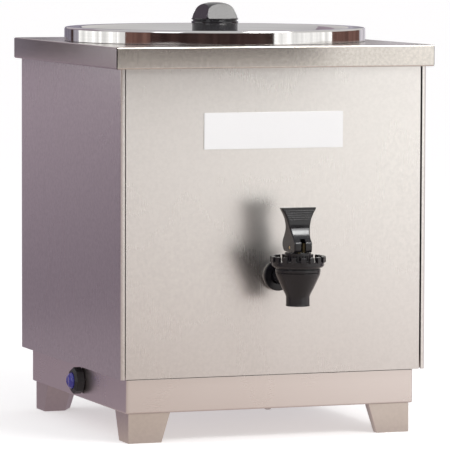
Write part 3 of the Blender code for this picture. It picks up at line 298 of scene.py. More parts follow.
# ---- Finishes --------------------------------------------------------------------------------------
@dataclass(frozen=True)
class Finish:
    """A finish that becomes one material, made once."""

    name: str
    colour: Colour
    roughness: float

    def material(self) -> bpy.types.Material:
        """Returns the finish's material, and builds it the first time."""
        if self.name in bpy.data.materials:
            return bpy.data.materials[self.name]
        made, graph, shader = new_material(self.name)
        self.dress(graph, shader)
        return made

    def dress(self, g: Graph, shader: bpy.types.Node) -> None:
        """Wires the shader. Each kind of finish has its own way.

        Args:
            g: The material's graph.
            shader: Its Principled BSDF.
        """
        raise NotImplementedError

    def toned(self, g: Graph, tone: bpy.types.NodeSocket, darkest: float) -> bpy.types.NodeSocket:
        """The finish's colour, and that share of it where the tone is 0."""
        return g.mix(tone, tuple(c * darkest for c in self.colour), self.colour)

    def varied(self, g: Graph, tone: bpy.types.NodeSocket, film: bpy.types.NodeSocket, low: float,
               high: float) -> bpy.types.NodeSocket:
        """The roughness, from one share of it to another as the tone rises, and more under a film."""
        return g.math("ADD", g.spread(tone, 0.0, 1.0, self.roughness * low, self.roughness * high), film)

    @staticmethod
    def relief(g: Graph, shader: bpy.types.Node, height: Any, depth: float, strength: float) -> None:
        """Gives the shader a bump of that depth in metres."""
        bump = g.add("ShaderNodeBump", {"Height": height, "Distance": depth, "Strength": strength})
        g.feed(shader, {"Normal": bump.outputs["Normal"]})


@dataclass(frozen=True)
class BrushedSteel(Finish):
    """Stainless sheet with a brushed grain."""

    stretch: tuple[float, float, float] = (700.0, 700.0, 9.0)
    shade: float = 0.985
    marks: float = 0.03
    marks_scale: float = 7.0
    wear: float = 0.6
    wear_shine: float = 1.18
    scratch_depth: float = 0.0003 * MM

    def dress(self, g: Graph, shader: bpy.types.Node) -> None:
        """Grain in colour, roughness and relief, a soft film, and brighter worn edges.

        Args:
            g: The material's graph.
            shader: Its Principled BSDF.
        """
        grain = g.group(brush_grain(), Stretch=self.stretch)
        film = g.group(handling_marks(), Scale=self.marks_scale, Amount=self.marks)
        wear = g.group(edge_wear(), Amount=self.wear)
        bright = tuple(min(1.0, c * self.wear_shine) for c in self.colour)
        body = self.toned(g, grain["Tone"], self.shade)
        g.feed(shader, {"Base Color": g.mix(wear["Mask"], body, bright), "Metallic": 1.0,
                        "Roughness": self.varied(g, grain["Tone"], film["Mask"], 1.015, 0.985)})
        self.relief(g, shader, grain["Height"], self.scratch_depth, 0.1)


@dataclass(frozen=True)
class SpunSteel(Finish):
    """Polished sheet with the fine rings that spinning leaves."""

    axis: tuple[float, float, float] = (0.0, 0.0, 0.0)
    fineness: float = 1500.0
    shade: float = 0.93
    marks: float = 0.04
    marks_scale: float = 20.0
    ring_depth: float = 0.01 * MM

    def dress(self, g: Graph, shader: bpy.types.Node) -> None:
        """Rings in colour, roughness and relief, with a soft film.

        Args:
            g: The material's graph.
            shader: Its Principled BSDF.
        """
        rings = g.group(spin_marks(), Axis=self.axis, Fineness=self.fineness)
        film = g.group(handling_marks(), Scale=self.marks_scale, Amount=self.marks)
        g.feed(shader, {"Base Color": self.toned(g, rings["Tone"], self.shade), "Metallic": 1.0,
                        "Roughness": self.varied(g, rings["Tone"], film["Mask"], 1.3, 0.7)})
        self.relief(g, shader, rings["Height"], self.ring_depth, 0.25)


@dataclass(frozen=True)
class Moulding(Finish):
    """A moulded plastic or rubber piece."""

    peel: float = 900.0
    peel_depth: float = 0.03 * MM
    coat: float = 0.0
    coat_roughness: float = 0.06
    worn: Colour = (0.1, 0.1, 0.1)
    wear: float = 0.35
    dust: float = 0.05
    marks: float = 0.08
    marks_scale: float = 45.0
    shade: float = 0.8
    # glow: a painted glow, the body's colour given off as light by a part with no lamp in it
    glow: float = 0.0

    def dress(self, g: Graph, shader: bpy.types.Node) -> None:
        """Orange peel, a handled film, rubbed edges and a little dust.

        Args:
            g: The material's graph.
            shader: Its Principled BSDF.
        """
        peel = g.group(moulded_grain(), Scale=self.peel)
        film = g.group(handling_marks(), Scale=self.marks_scale, Amount=self.marks)
        wear = g.group(edge_wear(), Amount=self.wear)
        dust = g.group(settled_dust(), Amount=self.dust)
        rubbed = g.math("ADD", wear["Mask"], dust["Mask"], clamp=True)
        body = self.toned(g, peel["Tone"], self.shade)
        g.feed(shader, {"Base Color": g.mix(rubbed, body, self.worn), "Coat Weight": self.coat,
                        "Coat Roughness": self.coat_roughness,
                        "Roughness": self.varied(g, peel["Tone"], film["Mask"], 0.9, 1.1)})
        # Painted glow: the body's colour is emitted as though the part were lit from inside.
        if self.glow:
            g.feed(shader, {"Emission Color": body, "Emission Strength": self.glow})
        self.relief(g, shader, peel["Height"], self.peel_depth, 0.3)


@dataclass(frozen=True)
class Fibre(Finish):
    """Glass wool or fired ceramic: a rough surface with a coarse relief."""

    scale: float = 260.0
    depth: float = 0.6 * MM
    shade: float = 0.72

    def dress(self, g: Graph, shader: bpy.types.Node) -> None:
        """Tangled tone and relief.

        Args:
            g: The material's graph.
            shader: Its Principled BSDF.
        """
        tangle = g.group(moulded_grain(), Scale=self.scale)
        g.feed(shader, {"Base Color": self.toned(g, tangle["Tone"], self.shade),
                        "Roughness": self.roughness})
        self.relief(g, shader, tangle["Height"], self.depth, 0.8)


# ---- Shapes ----------------------------------------------------------------------------------------
def to_mesh(shape: bmesh.types.BMesh, name: str) -> bpy.types.Mesh:
    """Turns a bmesh into a mesh with its normals pointing out.

    Args:
        shape: The bmesh. It is freed.
        name: The mesh's name.

    Returns:
        The mesh.
    """
    bmesh.ops.recalc_face_normals(shape, faces=shape.faces)
    mesh = bpy.data.meshes.new(name)
    shape.to_mesh(mesh)
    shape.free()
    return mesh


def skin(shape: bmesh.types.BMesh, first: Sequence[bmesh.types.BMVert],
         second: Sequence[bmesh.types.BMVert]) -> None:
    """Makes the faces between two closed rings of corners.

    Args:
        shape: The bmesh that the corners are in.
        first: One ring. Where it is the same corner all round, the faces are triangles.
        second: The next ring, with as many corners.
    """
    for i, here in enumerate(first):
        j = (i + 1) % len(first)
        corners = list(dict.fromkeys((here, first[j], second[j], second[i])))
        if len(corners) > 2:
            shape.faces.new(corners)


def loft(shape: bmesh.types.BMesh, rings: Sequence[Sequence[bmesh.types.BMVert]]) -> None:
    """Makes the faces along a row of rings, and closes both ends.

    Args:
        shape: The bmesh that the corners are in.
        rings: The rings in order, with the same number of corners each.
    """
    for first, second in zip(rings, rings[1:]):
        skin(shape, first, second)
    shape.faces.new(rings[0])
    shape.faces.new(list(reversed(rings[-1])))


def flat(corners: Iterable[Sequence[float]], name: str) -> bpy.types.Mesh:
    """Makes a flat sheet.

    Args:
        corners: Its corners in order.
        name: The mesh's name.

    Returns:
        The mesh.
    """
    shape = bmesh.new()
    shape.faces.new([shape.verts.new(corner) for corner in corners])
    return to_mesh(shape, name)


def circle(shape: bmesh.types.BMesh, radius: float, z: float, count: int,
           centre: Sequence[float] = (0.0, 0.0)) -> list[bmesh.types.BMVert]:
    """Adds a level ring of corners.

    Args:
        shape: The bmesh that they go in.
        radius: The ring's radius. At 0 the ring is one corner, given count times.
        z: Its height.
        count: How many corners it has.
        centre: Its middle in plan.

    Returns:
        The corners in order.
    """
    if radius < TINY:
        return [shape.verts.new((centre[0], centre[1], z))] * count
    turns = [math.tau * k / count for k in range(count)]
    return [shape.verts.new((centre[0] + radius * math.cos(a), centre[1] + radius * math.sin(a), z))
            for a in turns]


def soften(points: Sequence[Point], radius: float, steps: int = 3, closed: bool = False) -> list[Point]:
    """Rounds the corners of an outline.

    Args:
        points: The outline's corners.
        radius: How far from each corner its rounding starts, where the sides are long enough.
        steps: Segments in each rounding.
        closed: Whether the last corner joins the first.

    Returns:
        The rounded outline.
    """
    out: list[Point] = []
    count = len(points)
    for i, here in enumerate(points):
        if not closed and i in (0, count - 1):
            out.append(tuple(here))
            continue
        corner = Vector(here)
        before, after = Vector(points[i - 1]) - corner, Vector(points[(i + 1) % count]) - corner
        if min(before.length, after.length) < TINY or before.angle(-after) < STRAIGHT:
            out.append(tuple(here))
            continue
        start = corner + before * min(radius / before.length, MOST_OF_SIDE)
        end = corner + after * min(radius / after.length, MOST_OF_SIDE)
        for k in range(steps + 1):
            t = k / steps
            out.append(tuple(start * (1 - t) ** 2 + corner * 2 * t * (1 - t) + end * t * t))
    return out


def arc(centre: Point, radius: float, start: float, end: float, steps: int) -> list[Point]:
    """Points on an arc between two angles in degrees, with both ends."""
    angles = [math.radians(start + (end - start) * i / steps) for i in range(steps + 1)]
    return [(centre[0] + radius * math.cos(a), centre[1] + radius * math.sin(a)) for a in angles]


def revolve(profile: Sequence[Point], segments: int, centre: Vector, name: str,
            turn: Matrix | None = None) -> bpy.types.Mesh:
    """Turns a half section about its own Z axis.

    Args:
        profile: Radius and height pairs. One that starts off the axis closes on itself.
        segments: Sides of the turned solid.
        centre: Where the axis's origin goes.
        name: The mesh's name.
        turn: A rotation applied before the move.

    Returns:
        The turned mesh.
    """
    shape = bmesh.new()
    rings = [circle(shape, radius, z, segments) for radius, z in profile]
    if profile[0][0] > TINY:
        rings.append(rings[0])
    for low, high in zip(rings, rings[1:]):
        skin(shape, low, high)
    mesh = to_mesh(shape, name)
    if turn:
        mesh.transform(turn)
    mesh.transform(Matrix.Translation(centre))
    return mesh


def extrude(outline: Sequence[Point], low: float, high: float,
            place: Callable[[float, float, float], Sequence[float]], name: str) -> bpy.types.Mesh:
    """Pushes a flat outline through a distance.

    Args:
        outline: The outline's corners.
        low: Where the push starts.
        high: Where it ends.
        place: Turns a corner's two values and a level of the push into a point.
        name: The mesh's name.

    Returns:
        The solid's mesh.
    """
    shape = bmesh.new()
    loft(shape, [[shape.verts.new(place(a, b, level)) for a, b in outline] for level in (low, high)])
    return to_mesh(shape, name)


def sheet_outline(path: Sequence[Point], thickness: float) -> list[Point]:
    """Gives bent sheet its thickness.

    Args:
        path: The sheet's outer face.
        thickness: How thick it is, to the left of the path.

    Returns:
        The closed outline, the path first and then the inner face from its end back.
    """
    inner = []
    for i, here in enumerate(path):
        before = Vector(path[max(i - 1, 0)])
        after = Vector(path[min(i + 1, len(path) - 1)])
        along = (after - before).normalized()
        inner.append(tuple(Vector(here) + Vector((-along.y, along.x)) * thickness))
    return list(path) + inner[::-1]


def band(section: Sequence[Point], half: Point, centre: Sequence[float], corner: float, seam: float,
         name: str) -> bpy.types.Mesh:
    """Sweeps a section round a rectangle with rounded or seamed corners.

    Args:
        section: Closed outline of (depth behind the outer face, z) pairs.
        half: The rectangle's half width and half depth at the outer face.
        centre: The rectangle's middle.
        corner: Radius of the outer corner. With a seam it is ignored.
        seam: Gap between two mitred sides, or 0 for one band.
        name: The mesh's name.

    Returns:
        The mesh.
    """
    shape = bmesh.new()

    def ring_at(sx: int, sy: int, angle: float) -> list[bmesh.types.BMVert]:
        """Places the section at one point of a rounded corner.

        Args:
            sx: The corner's side along X, 1 or -1.
            sy: The corner's side along Y.
            angle: How far round the corner it is, in radians from +X.

        Returns:
            The section's corners.
        """
        ring = []
        for depth, z in section:
            radius, back = max(corner - depth, 0.0), max(depth - corner, 0.0)
            x = sx * (half[0] - corner - back) + radius * math.cos(angle)
            y = sy * (half[1] - corner - back) + radius * math.sin(angle)
            ring.append(shape.verts.new((centre[0] + x, centre[1] + y, z)))
        return ring

    if seam <= 0:
        rings = [ring_at(sx, sy, math.radians(90 * quarter + 90 * k / CORNER_STEPS))
                 for quarter, (sx, sy) in enumerate(CORNERS) for k in range(CORNER_STEPS + 1)]
        for first, second in zip(rings, rings[1:] + rings[:1]):
            skin(shape, first, second)
        return to_mesh(shape, name)
    sides = [((0, 1), (1, 0), half[0], half[1]), ((0, -1), (-1, 0), half[0], half[1]),
             ((1, 0), (0, -1), half[1], half[0]), ((-1, 0), (0, 1), half[1], half[0])]
    for outward, along, length, reach in sides:
        ends = []
        for sign in (-1, 1):
            ring = []
            for depth, z in section:
                run = sign * (length - depth - seam / 2)
                x = outward[0] * (reach - depth) + along[0] * run
                y = outward[1] * (reach - depth) + along[1] * run
                ring.append(shape.verts.new((centre[0] + x, centre[1] + y, z)))
            ends.append(ring)
        loft(shape, ends)
    return to_mesh(shape, name)


def block(first: Sequence[float], second: Sequence[float]) -> bpy.types.Mesh:
    """Makes a block.

    Args:
        first: One of its corners.
        second: The opposite corner.

    Returns:
        The mesh.
    """
    low = Vector([min(pair) for pair in zip(first, second)])
    high = Vector([max(pair) for pair in zip(first, second)])
    shape = bmesh.new()
    place = Matrix.Translation((high + low) / 2) @ Matrix.Diagonal((*(high - low), 1))
    bmesh.ops.create_cube(shape, size=1, matrix=place)
    return to_mesh(shape, "block")


def joined(meshes: Iterable[bpy.types.Mesh], name: str) -> bpy.types.Mesh:
    """Puts several meshes together.

    Args:
        meshes: The meshes. They are removed.
        name: The new mesh's name.

    Returns:
        The new mesh.
    """
    shape = bmesh.new()
    for mesh in meshes:
        shape.from_mesh(mesh)
        bpy.data.meshes.remove(mesh)
    made = bpy.data.meshes.new(name)
    shape.to_mesh(made)
    shape.free()
    return made


def add_object(name: str, data: bpy.types.ID) -> bpy.types.Object:
    """Puts a mesh, a lamp or a camera in the scene at the origin."""
    obj = bpy.data.objects.new(name, data)
    bpy.context.scene.collection.objects.link(obj)
    return obj


def taken(obj: bpy.types.Object) -> bpy.types.Mesh:
    """Removes a helper object and returns its mesh."""
    mesh = obj.data
    bpy.data.objects.remove(obj)
    return mesh


def settle(obj: bpy.types.Object) -> None:
    """Turns an object's modifiers into plain mesh.

    Args:
        obj: The object.
    """
    graph = bpy.context.evaluated_depsgraph_get()
    graph.update()
    mesh = bpy.data.meshes.new_from_object(obj.evaluated_get(graph), depsgraph=graph)
    obj.modifiers.clear()
    obj.data = mesh


def carve(obj: bpy.types.Object, helpers: Iterable[bpy.types.Mesh], operation: str = "DIFFERENCE") -> None:
    """Cuts helper meshes from an object, or joins them to it, and keeps the result.

    Args:
        obj: The object.
        helpers: The meshes. They are removed.
        operation: The Boolean modifier's operation.
    """
    for mesh in helpers:
        helper = add_object("helper", mesh)
        modifier = obj.modifiers.new("cut", "BOOLEAN")
        modifier.operation, modifier.solver, modifier.object = operation, "EXACT", helper
        settle(obj)
        bpy.data.meshes.remove(taken(helper))


def round_edges(obj: bpy.types.Object, width: float, segments: int = 2, angle: float = 35.0) -> None:
    """Rounds an object's sharp edges.

    Args:
        obj: The object.
        width: The rounding's width.
        segments: Its segments.
        angle: Edges sharper than this, in degrees, are rounded.
    """
    bevel = obj.modifiers.new("edges", "BEVEL")
    bevel.width, bevel.segments = width, segments
    bevel.limit_method, bevel.angle_limit = "ANGLE", math.radians(angle)
    bevel.use_clamp_overlap = True
    settle(obj)


def worked(mesh: bpy.types.Mesh, cuts: Iterable[bpy.types.Mesh] = (),
           joins: Iterable[bpy.types.Mesh] = (), edge: float = 0.0, angle: float = 35.0) -> bpy.types.Mesh:
    """Works a mesh before it becomes a piece.

    Args:
        mesh: The mesh.
        cuts: Helpers that are cut from it, after the joins.
        joins: Helpers that are joined to it.
        edge: Width of the rounding on its sharp edges.
        angle: Edges sharper than this, in degrees, are rounded.

    Returns:
        The new mesh.
    """
    obj = add_object("blank", mesh)
    carve(obj, joins, "UNION")
    carve(obj, cuts)
    if edge:
        round_edges(obj, edge, 3, angle)
    return taken(obj)


def shade(obj: bpy.types.Object, angle: float = 40.0) -> None:
    """Smooth shading that keeps flats flat and sharp edges sharp.

    Args:
        obj: The object.
        angle: Edges sharper than this, in degrees, stay sharp.
    """
    obj.data.shade_smooth()
    obj.data.set_sharp_from_angle(angle=math.radians(angle))
    weighted = obj.modifiers.new("normals", "WEIGHTED_NORMAL")
    weighted.keep_sharp, weighted.weight = True, FACE_AREA_WEIGHT
    settle(obj)


def piece(name: str, mesh: bpy.types.Mesh, finish: Finish, body: Body,
          nodes: Sequence[str] = (), angle: float = 40.0, edge: float = 0.0,
          cuts: Sequence[bpy.types.Mesh] = (), edge_angle: float = 35.0) -> bpy.types.Object:
    """Makes one finished piece, sets it on its body and hides the frame's nodes that it stands for.

    Args:
        name: The piece's name.
        mesh: Its shape, in place.
        finish: Its finish.
        body: The body that it rides on.
        nodes: The frame's nodes that it stands for.
        angle: Edges sharper than this stay sharp in the shading.
        edge: Width of the rounding on its sharp edges.
        cuts: Helpers that are cut from it before its edges are rounded.
        edge_angle: Edges sharper than this are rounded.

    Returns:
        The piece.
    """
    obj = add_object(name, mesh)
    carve(obj, cuts)
    if edge:
        round_edges(obj, edge, angle=edge_angle)
    shade(obj, angle)
    obj.data.materials.clear()
    obj.data.materials.append(finish.material())
    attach(obj, body.value)
    if nodes:
        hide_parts(*nodes)
    log.info("%s rides on %s with %d faces", name, body.value, len(obj.data.polygons))
    return obj


def middle_of(node: str, z: float) -> Vector:
    """The middle of a node's box in plan, at that height."""
    low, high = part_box(node)
    return Vector(((low.x + high.x) / 2, (low.y + high.y) / 2, z))


def merged_copy(node: str) -> bpy.types.Mesh:
    """Copies a node's mesh, with its loose triangles welded and its flats made whole.

    Args:
        node: The node's name.

    Returns:
        The new mesh.
    """
    shape = bmesh.new()
    shape.from_mesh(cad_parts[node].data)
    bmesh.ops.remove_doubles(shape, verts=shape.verts, dist=WELD)
    bmesh.ops.dissolve_limit(shape, angle_limit=FLAT, verts=shape.verts, edges=shape.edges)
    mesh = bpy.data.meshes.new(node + "_shape")
    shape.to_mesh(mesh)
    shape.free()
    return mesh


# ---- Repeated pieces -------------------------------------------------------------------------------
def geometry_tree(name: str, inputs: dict[str, tuple[str, Any]]) -> tuple[Graph, Any]:
    """Starts a Geometry Nodes tree with named inputs, points and a finish among them.

    Args:
        name: The tree's name.
        inputs: Socket type and default value by input name.

    Returns:
        The tree's graph, and its inputs.
    """
    tree = bpy.data.node_groups.new(name, "GeometryNodeTree")
    tree.interface.new_socket("Geometry", in_out="INPUT", socket_type="NodeSocketGeometry")
    for label, (kind, value) in inputs.items():
        tree.interface.new_socket(label, in_out="INPUT", socket_type=kind).default_value = value
    tree.interface.new_socket("Finish", in_out="INPUT", socket_type="NodeSocketMaterial")
    tree.interface.new_socket("Geometry", in_out="OUTPUT", socket_type="NodeSocketGeometry")
    graph = Graph(tree)
    return graph, graph.add("NodeGroupInput").outputs


def close_tree(g: Graph, given: Any, shape: Any, **turn: Any) -> bpy.types.NodeTree:
    """Ends a tree: a shape on each point, made real and given the finish.

    Args:
        g: The tree's graph.
        given: The tree's inputs.
        shape: The shape.
        turn: How each copy is turned, as Rotation.

    Returns:
        The tree.
    """
    placed = g.add("GeometryNodeInstanceOnPoints", {"Points": given["Geometry"], "Instance": shape, **turn})
    real = g.add("GeometryNodeRealizeInstances", {"Geometry": placed.outputs[0]})
    dressed = g.add("GeometryNodeSetMaterial", {"Geometry": real.outputs[0], "Material": given["Finish"]})
    g.add("NodeGroupOutput", {"Geometry": dressed.outputs[0]})
    return g.tree


def raised(g: Graph, shape: Any, height: Any) -> bpy.types.NodeSocket:
    """Moves a shape up inside a tree."""
    return g.add("GeometryNodeTransform", {"Geometry": shape,
                                           "Translation": g.combined(Z=height)}).outputs[0]


def boolean(g: Graph, *solids: Any, base: Any = None) -> bpy.types.NodeSocket:
    """Joins solids inside a tree, or cuts one from another.

    Args:
        g: The tree's graph.
        solids: The solids that are joined, or that are cut away.
        base: What they are cut from. Without it they are joined.

    Returns:
        The result.
    """
    if base is None:
        node = g.add("GeometryNodeMeshBoolean", operation="UNION")
    else:
        node = g.add("GeometryNodeMeshBoolean", {"Mesh 1": base}, operation="DIFFERENCE")
    for solid in solids:
        g.feed(node, {"Mesh 2": solid})
    return node.outputs["Mesh"]


def grown(name: str, points: Sequence[Sequence[float]], tree: bpy.types.NodeTree,
          values: dict[str, Any]) -> bpy.types.Mesh:
    """Runs a tree on a set of points and returns its result as a plain mesh.

    Args:
        name: The mesh's name.
        points: Where the pieces go.
        tree: The Geometry Nodes tree.
        values: The modifier's values by input name.

    Returns:
        The mesh.
    """
    seeds = bpy.data.meshes.new(name + "_places")
    seeds.from_pydata([tuple(p) for p in points], [], [])
    obj = add_object(name + "_places", seeds)
    modifier = obj.modifiers.new("pieces", "NODES")
    modifier.node_group = tree
    ids = {item.name: item.identifier for item in tree.interface.items_tree if item.in_out == "INPUT"}
    for key, value in values.items():
        modifier[ids[key]] = value
    settle(obj)
    mesh = taken(obj)
    mesh.materials.clear()
    return mesh


def screw_tree() -> bpy.types.NodeTree:
    """Pan-head screws with a cross recess, one on each point."""
    if "pan_head_screws" in bpy.data.node_groups:
        return bpy.data.node_groups["pan_head_screws"]
    g, given = geometry_tree("pan_head_screws", {
        "Head Radius": ("NodeSocketFloat", 3.5 * MM), "Head Height": ("NodeSocketFloat", 1.8 * MM),
        "Shank Radius": ("NodeSocketFloat", 1.9 * MM), "Shank Length": ("NodeSocketFloat", 6 * MM),
        "Recess": ("NodeSocketFloat", 0.62), "Facing": ("NodeSocketVector", (0.0, 0.0, 0.0))})

    def drum(top: Any, bottom: Any, depth: Any) -> bpy.types.NodeSocket:
        """A round stub that stands on its bottom face."""
        return g.add("GeometryNodeMeshCone", {"Vertices": 28, "Radius Top": top, "Radius Bottom": bottom,
                                              "Depth": depth}).outputs["Mesh"]

    radius, height = given["Head Radius"], given["Head Height"]
    skirt_height = g.times(height, 0.4)
    crown = drum(g.times(radius, 0.74), radius, g.math("SUBTRACT", height, skirt_height))
    head = boolean(g, drum(radius, radius, skirt_height), raised(g, crown, skirt_height))
    arm = g.times(radius, given["Recess"])
    bars = [g.add("GeometryNodeMeshCube", {"Size": g.combined(
        X=g.times(arm, length), Y=g.times(arm, width), Z=g.times(height, 1.3))}).outputs["Mesh"]
        for length, width in ((1.7, 0.34), (0.34, 1.7))]
    cross = boolean(g, *bars)
    recessed = boolean(g, raised(g, cross, height), base=head)
    shank = drum(given["Shank Radius"], given["Shank Radius"], given["Shank Length"])
    whole = g.add("GeometryNodeJoinGeometry")
    for part in (recessed, raised(g, shank, g.times(given["Shank Length"], -1.0))):
        g.feed(whole, {0: part})
    turned = g.add("FunctionNodeEulerToRotation", {0: given["Facing"]})
    return close_tree(g, given, whole.outputs[0], Rotation=turned.outputs[0])


def crown_tree() -> bpy.types.NodeTree:
    """Blocks set in a ring about an upright axis."""
    g, given = geometry_tree("ring_of_blocks", {
        "Count": ("NodeSocketInt", 18), "Radius": ("NodeSocketFloat", 24 * MM),
        "Block": ("NodeSocketVector", (3 * MM, 5 * MM, 4 * MM)), "Level": ("NodeSocketFloat", 0.0)})
    circle = g.add("GeometryNodeMeshCircle", {"Vertices": given["Count"], "Radius": given["Radius"]})
    block = g.add("GeometryNodeMeshCube", {"Size": given["Block"]})
    outward = g.add("FunctionNodeAlignRotationToVector",
                    {"Vector": g.add("GeometryNodeInputPosition").outputs[0]}, axis="X")
    ring = g.add("GeometryNodeInstanceOnPoints", {"Points": circle.outputs["Mesh"],
                                                  "Instance": block.outputs["Mesh"],
                                                  "Rotation": outward.outputs[0]})
    real = g.add("GeometryNodeRealizeInstances", {"Geometry": ring.outputs[0]})
    return close_tree(g, given, raised(g, real.outputs[0], given["Level"]))


def rib_tree() -> bpy.types.NodeTree:
    """Level round ribs stacked upwards, each a little wider than the one below."""
    g, given = geometry_tree("grip_ribs", {
        "Count": ("NodeSocketInt", 6), "Pitch": ("NodeSocketFloat", 2 * MM),
        "Width": ("NodeSocketFloat", 20 * MM), "Growth": ("NodeSocketFloat", 0.06),
        "Rib Radius": ("NodeSocketFloat", 0.4 * MM)})
    line = g.add("GeometryNodeMeshLine", {"Count": given["Count"], "Offset": g.combined(Z=given["Pitch"])})
    bar = g.add("GeometryNodeMeshCylinder", {"Vertices": 12, "Radius": given["Rib Radius"],
                                             "Depth": given["Width"]})
    laid = g.add("GeometryNodeTransform", {"Geometry": bar.outputs["Mesh"],
                                           "Rotation": (0.0, math.pi / 2, 0.0)})
    index = g.add("GeometryNodeInputIndex").outputs[0]
    wider = g.math("ADD", g.times(index, given["Growth"]), 1.0)
    ribs = g.add("GeometryNodeInstanceOnPoints", {"Points": line.outputs["Mesh"],
                                                  "Instance": laid.outputs[0],
                                                  "Scale": g.combined(X=wider, Y=1.0, Z=1.0)})
    real = g.add("GeometryNodeRealizeInstances", {"Geometry": ribs.outputs[0]})
    return close_tree(g, given, real.outputs[0])


# ---- The object's finishes ---------------------------------------------------------------------------
STEEL_TONE: Colour = (0.7, 0.672, 0.65)
UPRIGHT_GRAIN = BrushedSteel("steel_upright_grain", STEEL_TONE, 0.27, (2600.0, 2600.0, 24.0))
# Painted shade: the deck's sheet is the same steel as the panels, toned darker and browner.
SHADED_DECK_GRAIN = BrushedSteel("steel_deck_grain_painted_shade", (0.59, 0.55, 0.51), 0.2, (24.0, 2400.0, 2400.0))
LEVEL_GRAIN = BrushedSteel("steel_level_grain", (0.78, 0.72, 0.69), 0.27, (24.0, 24.0, 2600.0))
FOLDED_STEEL = BrushedSteel("steel_feet", (0.66, 0.6, 0.55), 0.28, (2200.0, 2200.0, 60.0), marks=0.06)
POT_STEEL = SpunSteel("steel_pot", (0.66, 0.65, 0.64), 0.22, (0.0, 0.0475, 0.0), 700.0)
SCREW_STEEL = SpunSteel("steel_screws", (0.58, 0.57, 0.56), 0.28, (0.0, 0.0, 0.0), 2600.0)
ALUMINIUM = BrushedSteel("cast_aluminium", (0.7, 0.7, 0.72), 0.42, (500.0, 500.0, 500.0), marks=0.1)
BRASS = SpunSteel("turned_brass", (0.93, 0.74, 0.4), 0.3, (0.0, 0.0, 0.0), 3000.0)
VALVE_BLACK = Moulding("valve_black", (0.007, 0.006, 0.008), 0.15, peel=1400.0, peel_depth=0.006 * MM,
                       worn=(0.03, 0.03, 0.033), dust=0.01)
KNOB_BLACK = Moulding("knob_black", (0.01, 0.009, 0.012), 0.1, peel=500.0, peel_depth=0.01 * MM, coat=0.4,
                      worn=(0.04, 0.04, 0.045), dust=0.01)
FITTING_BLACK = Moulding("fitting_black", (0.02, 0.02, 0.022), 0.42, peel=1800.0, worn=(0.1, 0.1, 0.1))
# The blue lens has a painted glow: it emits its own blue, with no lamp behind it.
BUTTON_BLUE = Moulding("button_blue_painted_glow", (0.02, 0.018, 0.25), 0.08, peel=300.0, peel_depth=0.005 * MM,
                       coat=1.0, worn=(0.08, 0.08, 0.5), dust=0.0, glow=0.12)
SILICONE = Moulding("silicone_seal", (0.72, 0.7, 0.66), 0.55, peel=700.0, worn=(0.8, 0.78, 0.74))
LABEL_WHITE = Moulding("label_white", (0.9, 0.9, 0.9), 0.5, peel=2200.0, worn=(0.93, 0.93, 0.93),
                       dust=0.0)
WOOL = Fibre("glass_wool", (0.8, 0.77, 0.66), 0.95)
CERAMIC = Fibre("fired_ceramic", (0.75, 0.72, 0.65), 0.7, 900.0, 0.1 * MM)
LEAD_RED = Moulding("lead_red", (0.42, 0.03, 0.025), 0.45, peel=1200.0, worn=(0.5, 0.1, 0.08))

INNER_FINISHES: dict[str, Finish] = {
    "floor_pan": LEVEL_GRAIN, "bottom_cover": LEVEL_GRAIN, "food_pot": POT_STEEL,
    "heater_plate": ALUMINIUM, "clamp_bar": LEVEL_GRAIN, "clamp_nut": SCREW_STEEL,
    "thermal_cutoff": CERAMIC, "heater_band": LEVEL_GRAIN, "insulation": WOOL,
    "thermostat": FITTING_BLACK, "switch_housing": FITTING_BLACK, "faucet_shank": VALVE_BLACK,
    "shank_nut": VALVE_BLACK, "pot_gasket": SILICONE, "seat_cup": SILICONE,
    "lead_inlet_to_switch": LEAD_RED, "lead_switch_to_thermostat": LEAD_RED,
    "lead_thermostat_to_heater": LEAD_RED, "knob_screw": SCREW_STEEL,
}


